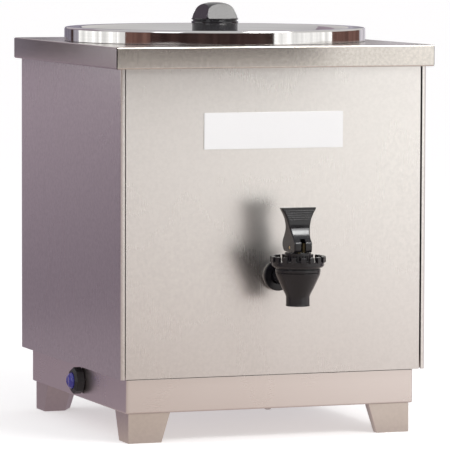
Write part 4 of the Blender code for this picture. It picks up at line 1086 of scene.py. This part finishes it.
# ---- Sub-assemblies ----------------------------------------------------------------------------------
@dataclass
class Cabinet:
    """Front, sides, back, deck and the blank label plate."""

    sheet: float = 1.2 * MM
    bend: float = 2.0 * MM
    wrap: float = 3.0 * MM
    side_gap: float = 1.0 * MM
    back_return: float = 14.0 * MM
    return_gap: float = 0.3 * MM
    deck_edge: float = 1.6 * MM
    deck_border: float = 3.52 * MM
    deck_flange: float = 7.0 * MM
    corner_seam: float = 1.6 * MM
    well_radius: float = 131.4 * MM
    well_sides: int = 96

    def build(self) -> None:
        """Builds every piece of the cabinet."""
        self.front_and_back()
        for side, node in ((-1, "left_side_panel"), (1, "right_side_panel")):
            self.side_panel(side, node)
        self.deck()
        piece("label_plate_blank", merged_copy("label_plate"), LABEL_WHITE, Body.CABINET,
              ["label_plate"], edge=0.3 * MM)

    def front_and_back(self) -> None:
        """The two flat panels, with their cut edges just broken."""
        low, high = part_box("front_panel")
        front = merged_copy("front_panel")
        narrower = 1 - 2 * self.side_gap / (high.x - low.x)
        front.transform(Matrix.Scale(narrower, 4, (1, 0, 0)))
        piece("front_sheet", front, UPRIGHT_GRAIN, Body.CABINET,
              ["front_panel"], edge=0.5 * MM, edge_angle=60)
        piece("back_sheet", merged_copy("back_panel"), UPRIGHT_GRAIN, Body.CABINET,
              ["back_panel"], edge=0.3 * MM, edge_angle=60)

    def side_panel(self, side: int, node: str) -> None:
        """A side with its round bend onto the front and its return at the back.

        Args:
            side: -1 for the left one, 1 for the right one.
            node: The frame's node that it stands for.
        """
        low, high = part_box(node)
        outer = low.x if side < 0 else high.x
        inward = -side
        path = [(outer + inward * self.wrap, low.y), (outer, low.y), (outer, high.y)]
        path = soften(path, self.bend, 6)
        outline = sheet_outline(path if side < 0 else path[::-1], self.sheet)
        shell = extrude(outline, low.z, high.z, lambda x, y, z: (x, y, z), node + "_sheet")
        y = high.y - self.sheet - self.return_gap
        tongue = block((outer + inward * self.sheet * 0.6, y - self.sheet, low.z),
                       (outer + inward * self.back_return, y, high.z))
        piece(node.replace("_panel", "_sheet"), joined([shell, tongue], node + "_sheet"), UPRIGHT_GRAIN,
              Body.CABINET, [node])

    def deck(self) -> None:
        """The deck: a plate with the pot's hole, and four folded lips with hairline corner seams."""
        low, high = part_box("deck")
        half = ((high.x - low.x) / 2, (high.y - low.y) / 2)
        centre = middle_of("deck", high.z)
        outer = soften([(self.deck_border, high.z), (0, high.z), (0, low.z), (self.deck_flange, low.z)],
                       self.deck_edge, 6)
        section = sheet_outline([(max(d, 0.0), z) for d, z in outer], self.sheet)
        lips = band(section, half, centre, 0.0, self.corner_seam, "deck_lips")
        reach = (half[0] - self.deck_border, half[1] - self.deck_border)
        plate = self.plate(centre, reach, middle_of("food_pot", 0.0))
        # The deck takes the darker steel, which is painted shade.
        piece("deck_sheet", joined([lips, plate], "deck_sheet"), SHADED_DECK_GRAIN, Body.CABINET,
              ["deck"], angle=50)

    def plate(self, centre: Vector, reach: Point, hole: Vector) -> bpy.types.Mesh:
        """The deck's top with its round hole, as a ring of faces above and one below.

        Args:
            centre: The plate's middle, at its top face.
            reach: Half its width and half its depth.
            hole: The hole's axis.

        Returns:
            The mesh, open along its outer edge, where the lips go on.
        """
        shape = bmesh.new()
        turns = [math.tau * (k + 0.5) / self.well_sides for k in range(self.well_sides)]
        walls = []
        for z in (centre.z, centre.z - self.sheet):
            inner, outer = [], []
            for a in turns:
                c, s = math.cos(a), math.sin(a)
                run = min((centre.x + math.copysign(reach[0], c) - hole.x) / c,
                          (centre.y + math.copysign(reach[1], s) - hole.y) / s)
                inner.append(shape.verts.new((hole.x + self.well_radius * c,
                                              hole.y + self.well_radius * s, z)))
                outer.append(shape.verts.new((hole.x + run * c, hole.y + run * s, z)))
            posts = [shape.verts.new((centre.x + sx * reach[0], centre.y + sy * reach[1], z))
                     for sx, sy in CORNERS]
            for k, here in enumerate(inner):
                j = (k + 1) % self.well_sides
                between = [p for p in posts if self.splits(outer[k].co, outer[j].co, p.co)]
                shape.faces.new([here, inner[j], outer[j], *between, outer[k]])
            walls.append(inner)
        skin(shape, *walls)
        return to_mesh(shape, "deck_plate")

    @staticmethod
    def splits(first: Vector, second: Vector, corner: Vector) -> bool:
        """Whether a rectangle's corner lies between two neighbouring points on its edge.

        Args:
            first: One point.
            second: The next.
            corner: The corner.

        Returns:
            True where the points are on two sides that meet at the corner.
        """
        if min(abs(first.x - second.x), abs(first.y - second.y)) < TINY:
            return False
        return min((first.xy - corner.xy).length, (second.xy - corner.xy).length) < 30 * MM


@dataclass
class Base:
    """The recessed plinth, its feet, the push switch and the power inlet."""

    sheet: float = 1.2 * MM
    corner: float = 2.6 * MM
    bottom_lip: float = 18 * MM
    top_lip: float = 10 * MM
    fold: float = 1.6 * MM
    foot_edge: float = 0.7 * MM
    switch_hole: float = 9.7 * MM
    cut_reach: float = 6 * MM
    inlet_rim: Point = (1.7 * MM, 1.2 * MM)
    cap_sides: int = 12

    def build(self) -> None:
        """Builds every piece of the base."""
        self.plinth()
        for node in ("foot_front_left", "foot_front_right", "foot_back_left", "foot_back_right"):
            piece(node + "_shell", merged_copy(node), FOLDED_STEEL, Body.CABINET, [node],
                  edge=self.foot_edge, edge_angle=50)
        piece("switch_collar", merged_copy("switch_bezel"), FITTING_BLACK, Body.CABINET,
              ["switch_bezel"], edge=0.5 * MM, edge_angle=30)
        self.button()
        piece("inlet_moulding", merged_copy("power_inlet"), FITTING_BLACK, Body.CABINET,
              ["power_inlet"], edge=0.4 * MM, edge_angle=60)

    def plinth(self) -> None:
        """One folded band with soft corners, cut for the switch and the inlet."""
        left_low, left_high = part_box("plinth_left")
        _, right_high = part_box("plinth_right")
        front_low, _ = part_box("plinth_front")
        _, back_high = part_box("plinth_back")
        low = Vector((left_low.x, front_low.y, left_low.z))
        high = Vector((right_high.x, back_high.y, left_high.z))
        half = ((high.x - low.x) / 2, (high.y - low.y) / 2)
        outer = soften([(self.top_lip, high.z), (0, high.z), (0, low.z), (self.bottom_lip, low.z)],
                       self.fold, 5)
        section = sheet_outline([(max(d, 0.0), z) for d, z in outer], self.sheet)
        shell = band(section, half, (low + high) / 2, self.corner, 0.0, "plinth_band")
        r, reach, (rim_x, rim_z) = self.switch_hole, self.cut_reach, self.inlet_rim
        switch_low, switch_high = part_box("switch_housing")
        switch = (switch_low + switch_high) / 2
        hole = revolve([(0, 0), (r, 0), (r, 2 * reach), (0, 2 * reach)], 48,
                       Vector((low.x - reach, switch.y, switch.z)), "hole",
                       Matrix.Rotation(math.pi / 2, 4, "Y"))
        inlet_low, inlet_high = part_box("power_inlet")
        slot = block((inlet_low.x + rim_x, high.y - reach, inlet_low.z + rim_z),
                     (inlet_high.x - rim_x, high.y + reach, inlet_high.z - rim_z))
        piece("plinth_band", shell, LEVEL_GRAIN, Body.CABINET,
              ["plinth_front", "plinth_back", "plinth_left", "plinth_right"], angle=50,
              cuts=[hole, slot])

    def button(self) -> None:
        """The push cap: a faceted lens with a shallow dish."""
        low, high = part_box("button_cap")
        radius, length = (high.z - low.z) / 2, high.x - low.x
        dome = [(0, 0), (radius, 0), (radius, length - 3.4 * MM), (radius - 1.1 * MM, length - 1.5 * MM),
                (radius - 3.4 * MM, length), (radius - 5 * MM, length - 0.5 * MM), (0, length - 0.9 * MM)]
        seat = Vector((high.x, (low.y + high.y) / 2, (low.z + high.z) / 2))
        cap = revolve(soften(dome, 0.25 * MM, 2), self.cap_sides, seat, "button_lens",
                      Matrix.Rotation(-math.pi / 2, 4, "Y"))
        # Its finish gives the lens a painted blue glow.
        piece("button_lens", cap, BUTTON_BLUE, Body.BUTTON, ["button_cap"], angle=20)


@dataclass
class Lid:
    """The spun lid with its sunk middle, and its moulded knob."""

    wall: float = 1.0 * MM
    edge: float = 2.4 * MM
    rim_inner: float = 132 * MM
    dish: float = 126 * MM
    dish_height: float = 4.5 * MM
    screw_hole: float = 3.3 * MM
    knob_radius: float = 23 * MM
    dome: float = 17 * MM
    fullness: float = 0.86
    knob_turn: float = math.radians(7)
    sides: int = 160
    flat_low: Point = (17.2 * MM, 15.8 * MM)
    flat_high: Point = (12.2 * MM, 2.4 * MM)
    flat_edge: float = 0.7 * MM

    def build(self) -> None:
        """Builds the lid and the knob."""
        low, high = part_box("lid")
        axis = middle_of("lid", 0.0)
        finish = SpunSteel("steel_lid", (0.78, 0.765, 0.75), 0.055, (axis.x, axis.y, 0.0), 1500.0)
        dish_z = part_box("deck")[1].z + self.dish_height
        radius, hole = (high.x - low.x) / 2, self.screw_hole
        top = [(hole, dish_z), (self.dish, dish_z), (self.rim_inner - 1.2 * MM, high.z - 1.6 * MM),
               (self.rim_inner + 1.2 * MM, high.z), (radius, high.z), (radius, low.z)]
        outer = soften(top, self.edge, 7)
        under = [(min(max(r, hole), radius - self.wall * 0.98), max(z, low.z))
                 for r, z in sheet_outline(outer[::-1], self.wall)[len(outer):]]
        piece("lid_shell", revolve(outer + under[::-1], self.sides, axis, "lid_shell"), finish, Body.LID,
              ["lid"], angle=50)
        self.knob()

    def knob(self) -> None:
        """The knob: a collar, a groove, a full dome and four grip flats with softened edges."""
        low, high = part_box("lid_knob")
        height, r = high.z - low.z, self.knob_radius
        shoulder, neck, groove = height - self.dome, r - 0.5 * MM, r - 1.4 * MM
        dome = [(r * math.cos(a) ** self.fullness, shoulder + self.dome * math.sin(a) ** self.fullness)
                for a in (math.radians(5 * i) for i in range(1, 18))]
        collar = soften([(0, 0), (neck, 0), (neck, shoulder - 4.2 * MM), (r, shoulder - 4 * MM),
                         (r, shoulder - 1.7 * MM), (groove, shoulder - 1.4 * MM),
                         (groove, shoulder - 0.5 * MM), (r, shoulder), dome[0]], 0.5 * MM, 3)
        blank = revolve(collar + dome[1:] + [(0, height)], 112, Vector(), "knob")
        (low_r, low_drop), (high_r, high_drop) = self.flat_low, self.flat_high
        low_z, top_z, far = height - low_drop, height + self.dome, 2 * r
        slope = (high_r - low_r) / (low_drop - high_drop)
        wedge = [(low_r, low_z), (far, low_z), (far, top_z), (low_r + slope * (top_z - low_z), top_z)]
        cuts = []
        for quarter in range(4):
            cut = extrude(wedge, -far, far, lambda a, b, level: (a, level, b), "flat")
            cut.transform(Matrix.Rotation(quarter * math.pi / 2, 4, "Z"))
            cuts.append(cut)
        mesh = worked(blank, cuts, edge=self.flat_edge, angle=24.0)
        mesh.transform(Matrix.Translation(middle_of("lid_knob", low.z))
                       @ Matrix.Rotation(self.knob_turn, 4, "Z"))
        piece("knob", mesh, KNOB_BLACK, Body.LID, ["lid_knob"], angle=35)


@dataclass
class Faucet:
    """The lever faucet: body, bonnet with its crown, stem, collar and handle."""

    sides: int = 112
    shank_radius: float = 7 * MM
    spout_radius: float = 11.1 * MM
    spout_bore: float = 7.8 * MM
    spout_drop: float = 24.1 * MM
    body_radius: float = 21.1 * MM
    body_top: float = 7.4 * MM
    bonnet_radius: float = 26 * MM
    crown_wall: float = 3.4 * MM
    teeth: int = 18
    notch: float = 3.8 * MM
    tooth_root: float = 1.2 * MM
    tooth_edge: float = 0.55 * MM
    floor: float = 18.2 * MM
    crown_top: float = 22.8 * MM
    pad_top: float = 26.2 * MM
    pad_radius: float = 12.5 * MM
    pin_height: float = 30.7 * MM
    slot_width: float = 5 * MM
    slot_top: float = 39.5 * MM
    slot_back: float = 7 * MM
    handle_top: float = 68 * MM
    base_front: float = -14.5 * MM
    base_back: float = 19 * MM
    shoulder: float = 33.8 * MM
    cam: float = 3 * MM
    foot_gap: float = 0.4 * MM
    pin_hole: float = 1.9 * MM
    ribs: int = 6
    rib_low: float = 54.6 * MM
    rib_pitch: float = 2.1 * MM
    rib_width: float = 19.5 * MM
    rib_growth: float = 0.095
    rib_radius: float = 0.6 * MM
    centre: Vector = field(default_factory=Vector)

    def build(self) -> None:
        """Builds every piece of the faucet about its shank's axis."""
        low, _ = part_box("faucet_body")
        self.centre = middle_of("faucet_bonnet", low.z + self.spout_drop)
        self.valve_body()
        self.bonnet()
        self.rings()
        self.stem()
        self.handle()

    def valve_body(self) -> None:
        """Spout, cone and flange turned as one, with the neck that runs back to the cabinet."""
        outside = [(self.spout_bore, -self.spout_drop), (self.spout_radius + 0.3 * MM, -self.spout_drop),
                   (self.spout_radius, -self.spout_drop + 1.6 * MM), (self.spout_radius, -15.4 * MM),
                   (self.spout_radius + 0.7 * MM, -13.2 * MM), (14.8 * MM, -7.4 * MM),
                   (18.7 * MM, 0.8 * MM), (self.body_radius - 0.4 * MM, self.body_top - 2.2 * MM),
                   (self.body_radius, self.body_top), (18 * MM, self.body_top), (18 * MM, 16 * MM),
                   (15.5 * MM, 16 * MM), (15.5 * MM, 3 * MM), (12.6 * MM, -7 * MM),
                   (self.spout_bore, -7 * MM)]
        shell = revolve(soften(outside, 0.6 * MM, 3, closed=True), self.sides, self.centre, "valve_body")
        _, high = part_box("faucet_body")
        turn = Matrix.Rotation(-math.pi / 2, 4, "X")
        r = self.shank_radius
        reach = high.y - self.centre.y
        neck = revolve([(0, 14.5 * MM), (r + 2.2 * MM, 14.5 * MM), (r + 1.0 * MM, 17.5 * MM),
                        (r, 20 * MM), (r, reach - 0.4 * MM), (r - 0.4 * MM, reach), (0, reach)], 64,
                       self.centre, "neck", turn)
        bore = revolve([(0, 6 * MM), (5 * MM, 6 * MM), (5 * MM, reach * 2), (0, reach * 2)], 48,
                       self.centre, "bore", turn)
        piece("valve_body", worked(shell, [bore], [neck]), VALVE_BLACK, Body.CABINET,
              ["faucet_body"], angle=38)

    def bonnet(self) -> None:
        """The screwed bonnet, and the crown of teeth round its recess."""
        bore, skirt, ceiling = 3.4 * MM, 18.4 * MM, 16.3 * MM
        inner = self.bonnet_radius - self.crown_wall
        section = [(bore, self.pad_top), (self.pad_radius, self.pad_top), (self.pad_radius, self.floor),
                   (self.bonnet_radius - 0.8 * MM, self.floor), (24.6 * MM, self.floor - 0.8 * MM),
                   (24.6 * MM, 13.9 * MM), (22.7 * MM, 12.1 * MM), (20.6 * MM, 12.1 * MM),
                   (20.6 * MM, 10.9 * MM), (21.3 * MM, 10.7 * MM), (21.3 * MM, 7.7 * MM),
                   (skirt, 7.7 * MM), (skirt, ceiling), (bore, ceiling)]
        shell = revolve(soften(section, 0.7 * MM, 3, closed=True), self.sides, self.centre, "bonnet")
        width = math.tau * (self.bonnet_radius - self.crown_wall / 2) / self.teeth - self.notch
        middle = (self.bonnet_radius + inner) / 2
        crown = grown("crown", [self.centre], crown_tree(), {
            "Count": self.teeth, "Radius": middle,
            "Block": (self.crown_wall, width, self.crown_top - self.floor + self.tooth_root),
            "Level": (self.crown_top + self.floor - self.tooth_root) / 2})
        teeth = worked(crown, edge=self.tooth_edge, angle=40.0)
        piece("bonnet", joined([shell, teeth], "bonnet"), VALVE_BLACK, Body.CABINET,
              ["faucet_bonnet"], angle=38)

    def rings(self) -> None:
        """The collar and the gasket between the neck and the front panel."""
        turn = Matrix.Rotation(-math.pi / 2, 4, "X")
        for node, name, finish, slot, edge in (
                ("shank_collar", "neck_collar", VALVE_BLACK, Slot.PLASTIC, 1.0 * MM),
                ("front_gasket", "panel_gasket", SILICONE, Slot.SILICONE, 0.5 * MM)):
            low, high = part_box(node)
            radius, near, far = (high.z - low.z) / 2, low.y - self.centre.y, high.y - self.centre.y
            bore = self.shank_radius + 0.4 * MM
            section = [(bore, near), (radius, near), (radius, far), (bore, far)]
            piece(name, revolve(soften(section, edge, 4, closed=True), 72, self.centre, name, turn),
                  finish, Body.CABINET, [node])

    def stem(self) -> None:
        """The brass stem's flat tab and its cross pin."""
        piece("stem_rod", merged_copy("valve_stem"), BRASS, Body.STEM, ["valve_stem"],
              edge=0.25 * MM, edge_angle=60)
        low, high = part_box("handle_pin")
        radius, half = (high.z - low.z) / 2, (high.x - low.x) / 2
        section = soften([(0, -half), (radius, -half), (radius, half), (0, half)], 0.3 * MM, 3)
        turn = Matrix.Rotation(math.pi / 2, 4, "Y")
        piece("hinge_pin", revolve(section, 32, (low + high) / 2, "hinge_pin", turn), BRASS, Body.STEM,
              ["handle_pin"])

    def side_curve(self) -> tuple[list[Point], list[Point]]:
        """The handle's front and back edges seen from the side, as (z, y) from foot to top."""
        foot = self.pad_top + self.foot_gap
        cam = arc((self.base_front + self.cam, foot + self.cam), self.cam, 270, 180, 6)
        front = [(z, y) for y, z in cam] + [
            (35.8 * MM, self.base_front), (37.6 * MM, -12.6 * MM), (40.4 * MM, -10.1 * MM),
            (43.2 * MM, -8.1 * MM), (46.4 * MM, -6.3 * MM), (49.6 * MM, -5.0 * MM),
            (53 * MM, -4.1 * MM), (57 * MM, -3.6 * MM), (62 * MM, -3.3 * MM), (self.handle_top, -3 * MM)]
        heel_radius = self.shoulder - foot
        heel = arc((self.base_back - heel_radius, self.shoulder), heel_radius, 270, 360, 8)
        back = [(z, y) for y, z in heel] + [
            (38 * MM, 17.6 * MM), (41 * MM, 14.8 * MM), (43.4 * MM, 12.4 * MM), (46 * MM, 9.5 * MM),
            (48.4 * MM, 7.4 * MM), (51 * MM, 6.1 * MM), (53.4 * MM, 5.4 * MM), (60.4 * MM, 4.4 * MM),
            (self.handle_top, 3.5 * MM)]
        return front, back

    @staticmethod
    def read(curve: Sequence[Point], at: float) -> float:
        """Reads a curve between its points.

        Args:
            curve: The points, as (place, value) in rising order of place.
            at: The place.

        Returns:
            The value there. Past the curve's ends it stays as it is at them.
        """
        for (a, va), (b, vb) in zip(curve, curve[1:]):
            if at <= b:
                share = min(max((at - a) / max(b - a, 1e-9), 0.0), 1.0)
                return va + (vb - va) * share
        return curve[-1][1]

    def handle(self) -> None:
        """The lever: a lofted foot, waist and flared top, slotted for the stem, with grip ribs."""
        front, back = self.side_curve()
        width = [(25.2 * MM, 8.8 * MM), (36 * MM, 8.8 * MM), (39.6 * MM, 8.6 * MM), (43 * MM, 9.0 * MM),
                 (46 * MM, 9.6 * MM), (51.6 * MM, 10.7 * MM), (57.4 * MM, 12.2 * MM),
                 (60 * MM, 13.3 * MM), (62.8 * MM, 14.6 * MM), (65.6 * MM, 16.4 * MM),
                 (69 * MM, 18 * MM)]
        foot = self.pad_top + self.foot_gap
        levels = sorted({foot + 0.01 * MM, *(foot + i * 0.45 * MM for i in range(1, 12)),
                         *(foot + 5.4 * MM + i * 1.1 * MM for i in range(33)),
                         self.handle_top - 0.5 * MM, self.handle_top})
        levels = [z for z in levels if z <= self.handle_top]
        shape = bmesh.new()
        rings = []
        for z in levels:
            pinch = 0.45 * MM if z == self.handle_top else 0.0
            half = self.read(width, z) - pinch
            near, far = self.read(front, z) + pinch, self.read(back, z) - pinch
            corner = min(1.5 * MM, (far - near) * 0.3)
            plan = soften([(-half, near), (half, near), (half, far), (-half, far)], corner, 4, closed=True)
            rings.append([shape.verts.new((x, y, z)) for x, y in plan])
        loft(shape, rings)
        slot = block((-self.slot_width / 2, 2 * self.base_front, foot - 2 * MM),
                     (self.slot_width / 2, self.slot_back, self.slot_top))
        r, reach = self.pin_hole, 30 * MM
        pin = revolve([(0, -reach), (r, -reach), (r, reach), (0, reach)], 32,
                      Vector((0, 0, self.pin_height)), "pin", Matrix.Rotation(math.pi / 2, 4, "Y"))
        ribs = grown("ribs", [(0, -3.3 * MM, self.rib_low)], rib_tree(), {
            "Count": self.ribs, "Pitch": self.rib_pitch, "Width": self.rib_width,
            "Growth": self.rib_growth, "Rib Radius": self.rib_radius})
        whole = joined([worked(to_mesh(shape, "handle"), [slot, pin]), ribs], "lever")
        whole.transform(Matrix.Translation(self.centre))
        piece("lever", whole, VALVE_BLACK, Body.HANDLE, ["faucet_handle"], angle=34)


@dataclass
class Fasteners:
    """Screws of the back panel, the bottom cover and the feet."""

    small_shank: float = 1.9 * MM
    foot_shank: float = 3.0 * MM
    head_share: float = 0.5

    def build(self) -> None:
        """Builds one piece for each set of screws."""
        self.screws("back_panel_screws", "back_screw_", (-math.pi / 2, 0.0, 0.0), 1, self.small_shank)
        self.screws("bottom_cover_screws", "cover_screw_", (math.pi, 0.0, 0.0), 2, self.small_shank)
        self.screws("foot_screws", "foot_bolt_", (math.pi, 0.0, 0.0), 2, self.foot_shank)

    def screws(self, name: str, prefix: str, facing: tuple[float, float, float], axis: int,
               shank: float) -> None:
        """One set: every frame node with the prefix becomes a screw with a cross recess.

        Args:
            name: The piece's name.
            prefix: How the nodes' names start.
            facing: The screws' turn from upright, in radians about X, Y and Z.
            axis: The axis that they lie along, 1 for Y or 2 for Z.
            shank: The shank's radius.
        """
        nodes = sorted(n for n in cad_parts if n.startswith(prefix))
        boxes = [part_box(n) for n in nodes]
        low, high = boxes[0]
        radius = (high.x - low.x) / 2
        head = radius * self.head_share
        length = (high - low)[axis]
        points = []
        for low, high in boxes:
            point = (low + high) / 2
            point[axis] = high[axis] - head if axis == 1 else low[axis] + head
            points.append(point)
        mesh = grown(name, points, screw_tree(), {
            "Head Radius": radius, "Head Height": head, "Shank Radius": shank,
            "Shank Length": length - head, "Facing": facing})
        piece(name, mesh, SCREW_STEEL, Body.CABINET, nodes, angle=30)


@dataclass
class Studio:
    """Floor, light and camera."""

    eye: tuple[float, float, float] = (-1.3453, -3.65665, 0.4964)
    yaw: float = 20.10
    pitch: float = 4.42
    roll: float = 0.16
    lens: float = 321.1
    sensor: float = 36.0
    floor_reach: float = 60.0
    floor_lift: float = 0.42
    world_strength: float = 0.85
    ring_reach: float = 0.56
    ring_levels: Point = (0.341, 0.46)
    ring_sides: int = 96

    def build(self) -> None:
        """Builds everything round the object."""
        self.camera()
        self.floor()
        self.world()
        self.lamps()
        self.cards()
        self.ring()

    def camera(self) -> None:
        """The camera, level but for a slight roll."""
        data = bpy.data.cameras.new("camera")
        data.lens, data.sensor_width = self.lens, self.sensor
        data.clip_start, data.clip_end = 0.1, 500.0
        camera = add_object("camera", data)
        yaw, pitch, roll = (math.radians(v) for v in (self.yaw, self.pitch, self.roll))
        right = Vector((math.cos(yaw), -math.sin(yaw), 0))
        ahead = Vector((math.sin(yaw) * math.cos(pitch), math.cos(yaw) * math.cos(pitch),
                        -math.sin(pitch)))
        up = right.cross(ahead)
        tilted = right * math.cos(roll) + up * math.sin(roll)
        upright = up * math.cos(roll) - right * math.sin(roll)
        matrix = Matrix((tilted, upright, -ahead)).transposed().to_4x4()
        matrix.translation = Vector(self.eye)
        camera.matrix_world = matrix
        bpy.context.scene.camera = camera

    @staticmethod
    def put(name: str, mesh: bpy.types.Mesh, made: bpy.types.Material, surface: bpy.types.Node,
            mirrored_only: bool = True) -> None:
        """Stages a mesh in a material of its own.

        Args:
            name: The object's name.
            mesh: Its mesh.
            made: Its material.
            surface: The shader node that the material shows.
            mirrored_only: Whether only shiny metal sees it.
        """
        made.node_tree.links.new(surface.outputs[0],
                                 made.node_tree.nodes["Material Output"].inputs["Surface"])
        obj = add_object(name, mesh)
        obj.data.materials.append(made)
        if mirrored_only:
            obj.visible_camera = obj.visible_diffuse = obj.visible_shadow = False

    def floor(self) -> None:
        """A pale matt floor that reads white to the camera and keeps the object's shadow.

        Metal sees painted shade on it instead: darker behind the object and at the left.
        """
        made, g, shader = new_material("floor_pale")
        g.feed(shader, {"Base Color": (0.86, 0.855, 0.85, 1), "Roughness": 0.9,
                        "Specular IOR Level": 0.1})
        path = g.add("ShaderNodeLightPath").outputs
        glow = g.add("ShaderNodeEmission", {"Color": (1, 1, 1, 1),
                                            "Strength": g.times(path["Is Camera Ray"], self.floor_lift)})
        both = g.add("ShaderNodeAddShader", {0: shader.outputs[0], 1: glow.outputs[0]})
        x, y, _ = g.split(g.place())
        # Painted light and shade that only glossy rays see: dim and warm at the left front, bright at the
        # right front, dark purple behind.
        front = g.mix(g.spread(x, 0.0, 0.6), (0.62, 0.53, 0.49), (1.05, 0.98, 0.96))
        mirrored = g.mix(g.spread(y, -0.2, 0.15), front, (0.32, 0.262, 0.31))
        painted_shade_for_metal = g.add("ShaderNodeEmission", {"Color": mirrored, "Strength": 1.0})
        seen = g.add("ShaderNodeMixShader", {0: path["Is Glossy Ray"], 1: both.outputs[0],
                                             2: painted_shade_for_metal.outputs[0]})
        r = self.floor_reach
        square = flat([(-r, -r, 0), (r, -r, 0), (r, r, 0), (-r, r, 0)], "floor")
        self.put("floor", square, made, seen, mirrored_only=False)

    def world(self) -> None:
        """White round the camera's view, and a soft warm-to-cool room for light and reflections."""
        world = bpy.data.worlds.new("studio")
        bpy.context.scene.world = world
        world.use_nodes = True
        g = Graph(world.node_tree)
        x, _, z = g.split(g.add("ShaderNodeTexCoord").outputs["Generated"])
        walls = g.mix(g.spread(x, -0.9, 0.6), (0.5, 0.45, 0.49), (0.86, 0.83, 0.8))
        room = g.mix(g.spread(z, 0.0, 0.9), walls, (0.82, 0.82, 0.84))
        seen = g.add("ShaderNodeLightPath").outputs["Is Camera Ray"]
        g.feed(world.node_tree.nodes["Background"], {"Color": g.mix(seen, room, (1.0, 1.0, 1.0)),
                                                     "Strength": self.world_strength})

    def lamps(self) -> None:
        """A large soft key at the front right and a weak strip at the left."""
        self.area("key", (0.8, -1.45, 1.6), (0.02, -0.1, 0.22), 1.0, 0.8, 15.0, (1.0, 0.985, 0.96))
        self.area("fill", (-1.9, -1.2, 1.3), (0.0, 0.0, 0.2), 0.9, 1.2, 6.0, (0.97, 0.97, 1.0))

    @staticmethod
    def area(name: str, place: Sequence[float], aim: Sequence[float], width: float, height: float,
             power: float, colour: Colour) -> None:
        """Adds one area lamp.

        Args:
            name: Its name.
            place: Where it stands.
            aim: The place that it points at.
            width: Its width.
            height: Its height.
            power: Its power in watts.
            colour: Its colour.
        """
        data = bpy.data.lights.new(name, "AREA")
        data.shape, data.size, data.size_y = "RECTANGLE", width, height
        data.energy, data.color = power, colour
        lamp = add_object(name, data)
        lamp.location = place
        lamp.rotation_euler = (Vector(aim) - Vector(place)).to_track_quat("-Z", "Y").to_euler()

    def cards(self) -> None:
        """Cards out of view that only shiny metal sees, each shaded from one corner to the other."""
        self.card("card_front", (-0.9, -1.75, 0.0), (1.9, -1.75, 0.9), (0.3, 0.85, -0.2, 0.4),
                  (0.47, 0.41, 0.395), (1.5, 1.52, 1.48))
        self.card("card_high", (0.2, -1.5, 1.12), (0.98, -1.5, 2.5), (-1.0, 0.0, 1.0, 1.2),
                  (2.0, 2.0, 2.0), (13.0, 13.0, 13.0))
        self.card("card_left", (-2.2, 1.0, 0.0), (-0.12, 1.0, 1.2), (-0.9, -0.1, 0.0, 0.25),
                  (0.12, 0.092, 0.125), (0.44, 0.365, 0.43))

    def card(self, name: str, low: Sequence[float], high: Sequence[float],
             span: tuple[float, float, float, float], dark: Colour, bright: Colour) -> None:
        """Adds one upright card.

        Args:
            name: Its name.
            low: Its lowest corner.
            high: Its highest corner.
            span: Where the shading starts and ends, along X and then along Z.
            dark: Its colour at the low corner of the shading.
            bright: Its colour at the high corner of the shading.
        """
        made, g, _ = new_material(name)
        x, _, z = g.split(g.place())
        share = g.times(g.math("ADD", g.spread(x, *span[:2]), g.spread(z, *span[2:])), 0.5)
        glow = g.add("ShaderNodeEmission", {"Color": g.mix(share, dark, bright)})
        corners = [low, (high[0], high[1], low[2]), high, (low[0], low[1], high[2])]
        self.put(name, flat(corners, name), made, glow)

    def ring(self) -> None:
        """A low ring of light and dark round the lid, which its polished skirt mirrors as bands."""
        centre = middle_of("lid", 0.0)
        shape = bmesh.new()
        skin(shape, *(circle(shape, self.ring_reach, z, self.ring_sides, centre)
                      for z in self.ring_levels))
        made, g, _ = new_material("ring_of_bands")
        x, y, _ = g.split(g.vector("SUBTRACT", g.place(), tuple(centre)))
        turn = g.math("ARCTAN2", y, x)
        white, brown, dark = (1.15, 1.15, 1.14), (0.17, 0.092, 0.078), (0.045, 0.026, 0.024)
        grey, pale, light = (0.22, 0.2, 0.25), (0.38, 0.36, 0.41), (0.66, 0.63, 0.68)
        bands = ((0.0, white), (6, brown), (26, dark), (109, white), (158, brown), (200, light),
                 (225, pale), (250, grey), (300, dark), (306, pale), (316, white))
        ramp = g.add("ShaderNodeValToRGB", {"Fac": g.spread(turn, -math.pi, math.pi)})
        ramp.color_ramp.interpolation = "CONSTANT"
        while len(ramp.color_ramp.elements) < len(bands):
            ramp.color_ramp.elements.new(0.5)
        for element, (degrees, colour) in zip(ramp.color_ramp.elements, bands):
            element.position, element.color = degrees / 360, (*colour, 1)
        stripes = g.add("ShaderNodeTexNoise", {"W": g.times(turn, 9.0), "Scale": 1.0, "Detail": 3.0},
                        noise_dimensions="1D").outputs["Fac"]
        glow = g.add("ShaderNodeEmission", {"Color": ramp.outputs["Color"],
                                            "Strength": g.spread(stripes, 0.4, 0.62, 0.8, 1.3)})
        self.put("ring_of_bands", to_mesh(shape, "ring_of_bands"), made, glow)


# ---- Assembly ----------------------------------------------------------------------------------------
def dress_inner_nodes() -> None:
    """Gives every frame node that stays its own finish."""
    for node, finish in INNER_FINISHES.items():
        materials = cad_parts[node].data.materials
        materials.clear()
        materials.append(finish.material())
        log.info("%s keeps its shape in %s", node, finish.name)


def main() -> None:
    """Builds the studio and every sub-assembly in order."""
    logging.basicConfig(level=logging.INFO, format="%(message)s")
    scene = bpy.context.scene
    scene.view_settings.view_transform = "Standard"
    Studio().build()
    dress_inner_nodes()
    for assembly in (Cabinet(), Base(), Lid(), Faucet(), Fasteners()):
        assembly.build()
        log.info("%s is built", type(assembly).__name__)


if __name__ == "__main__":
    main()
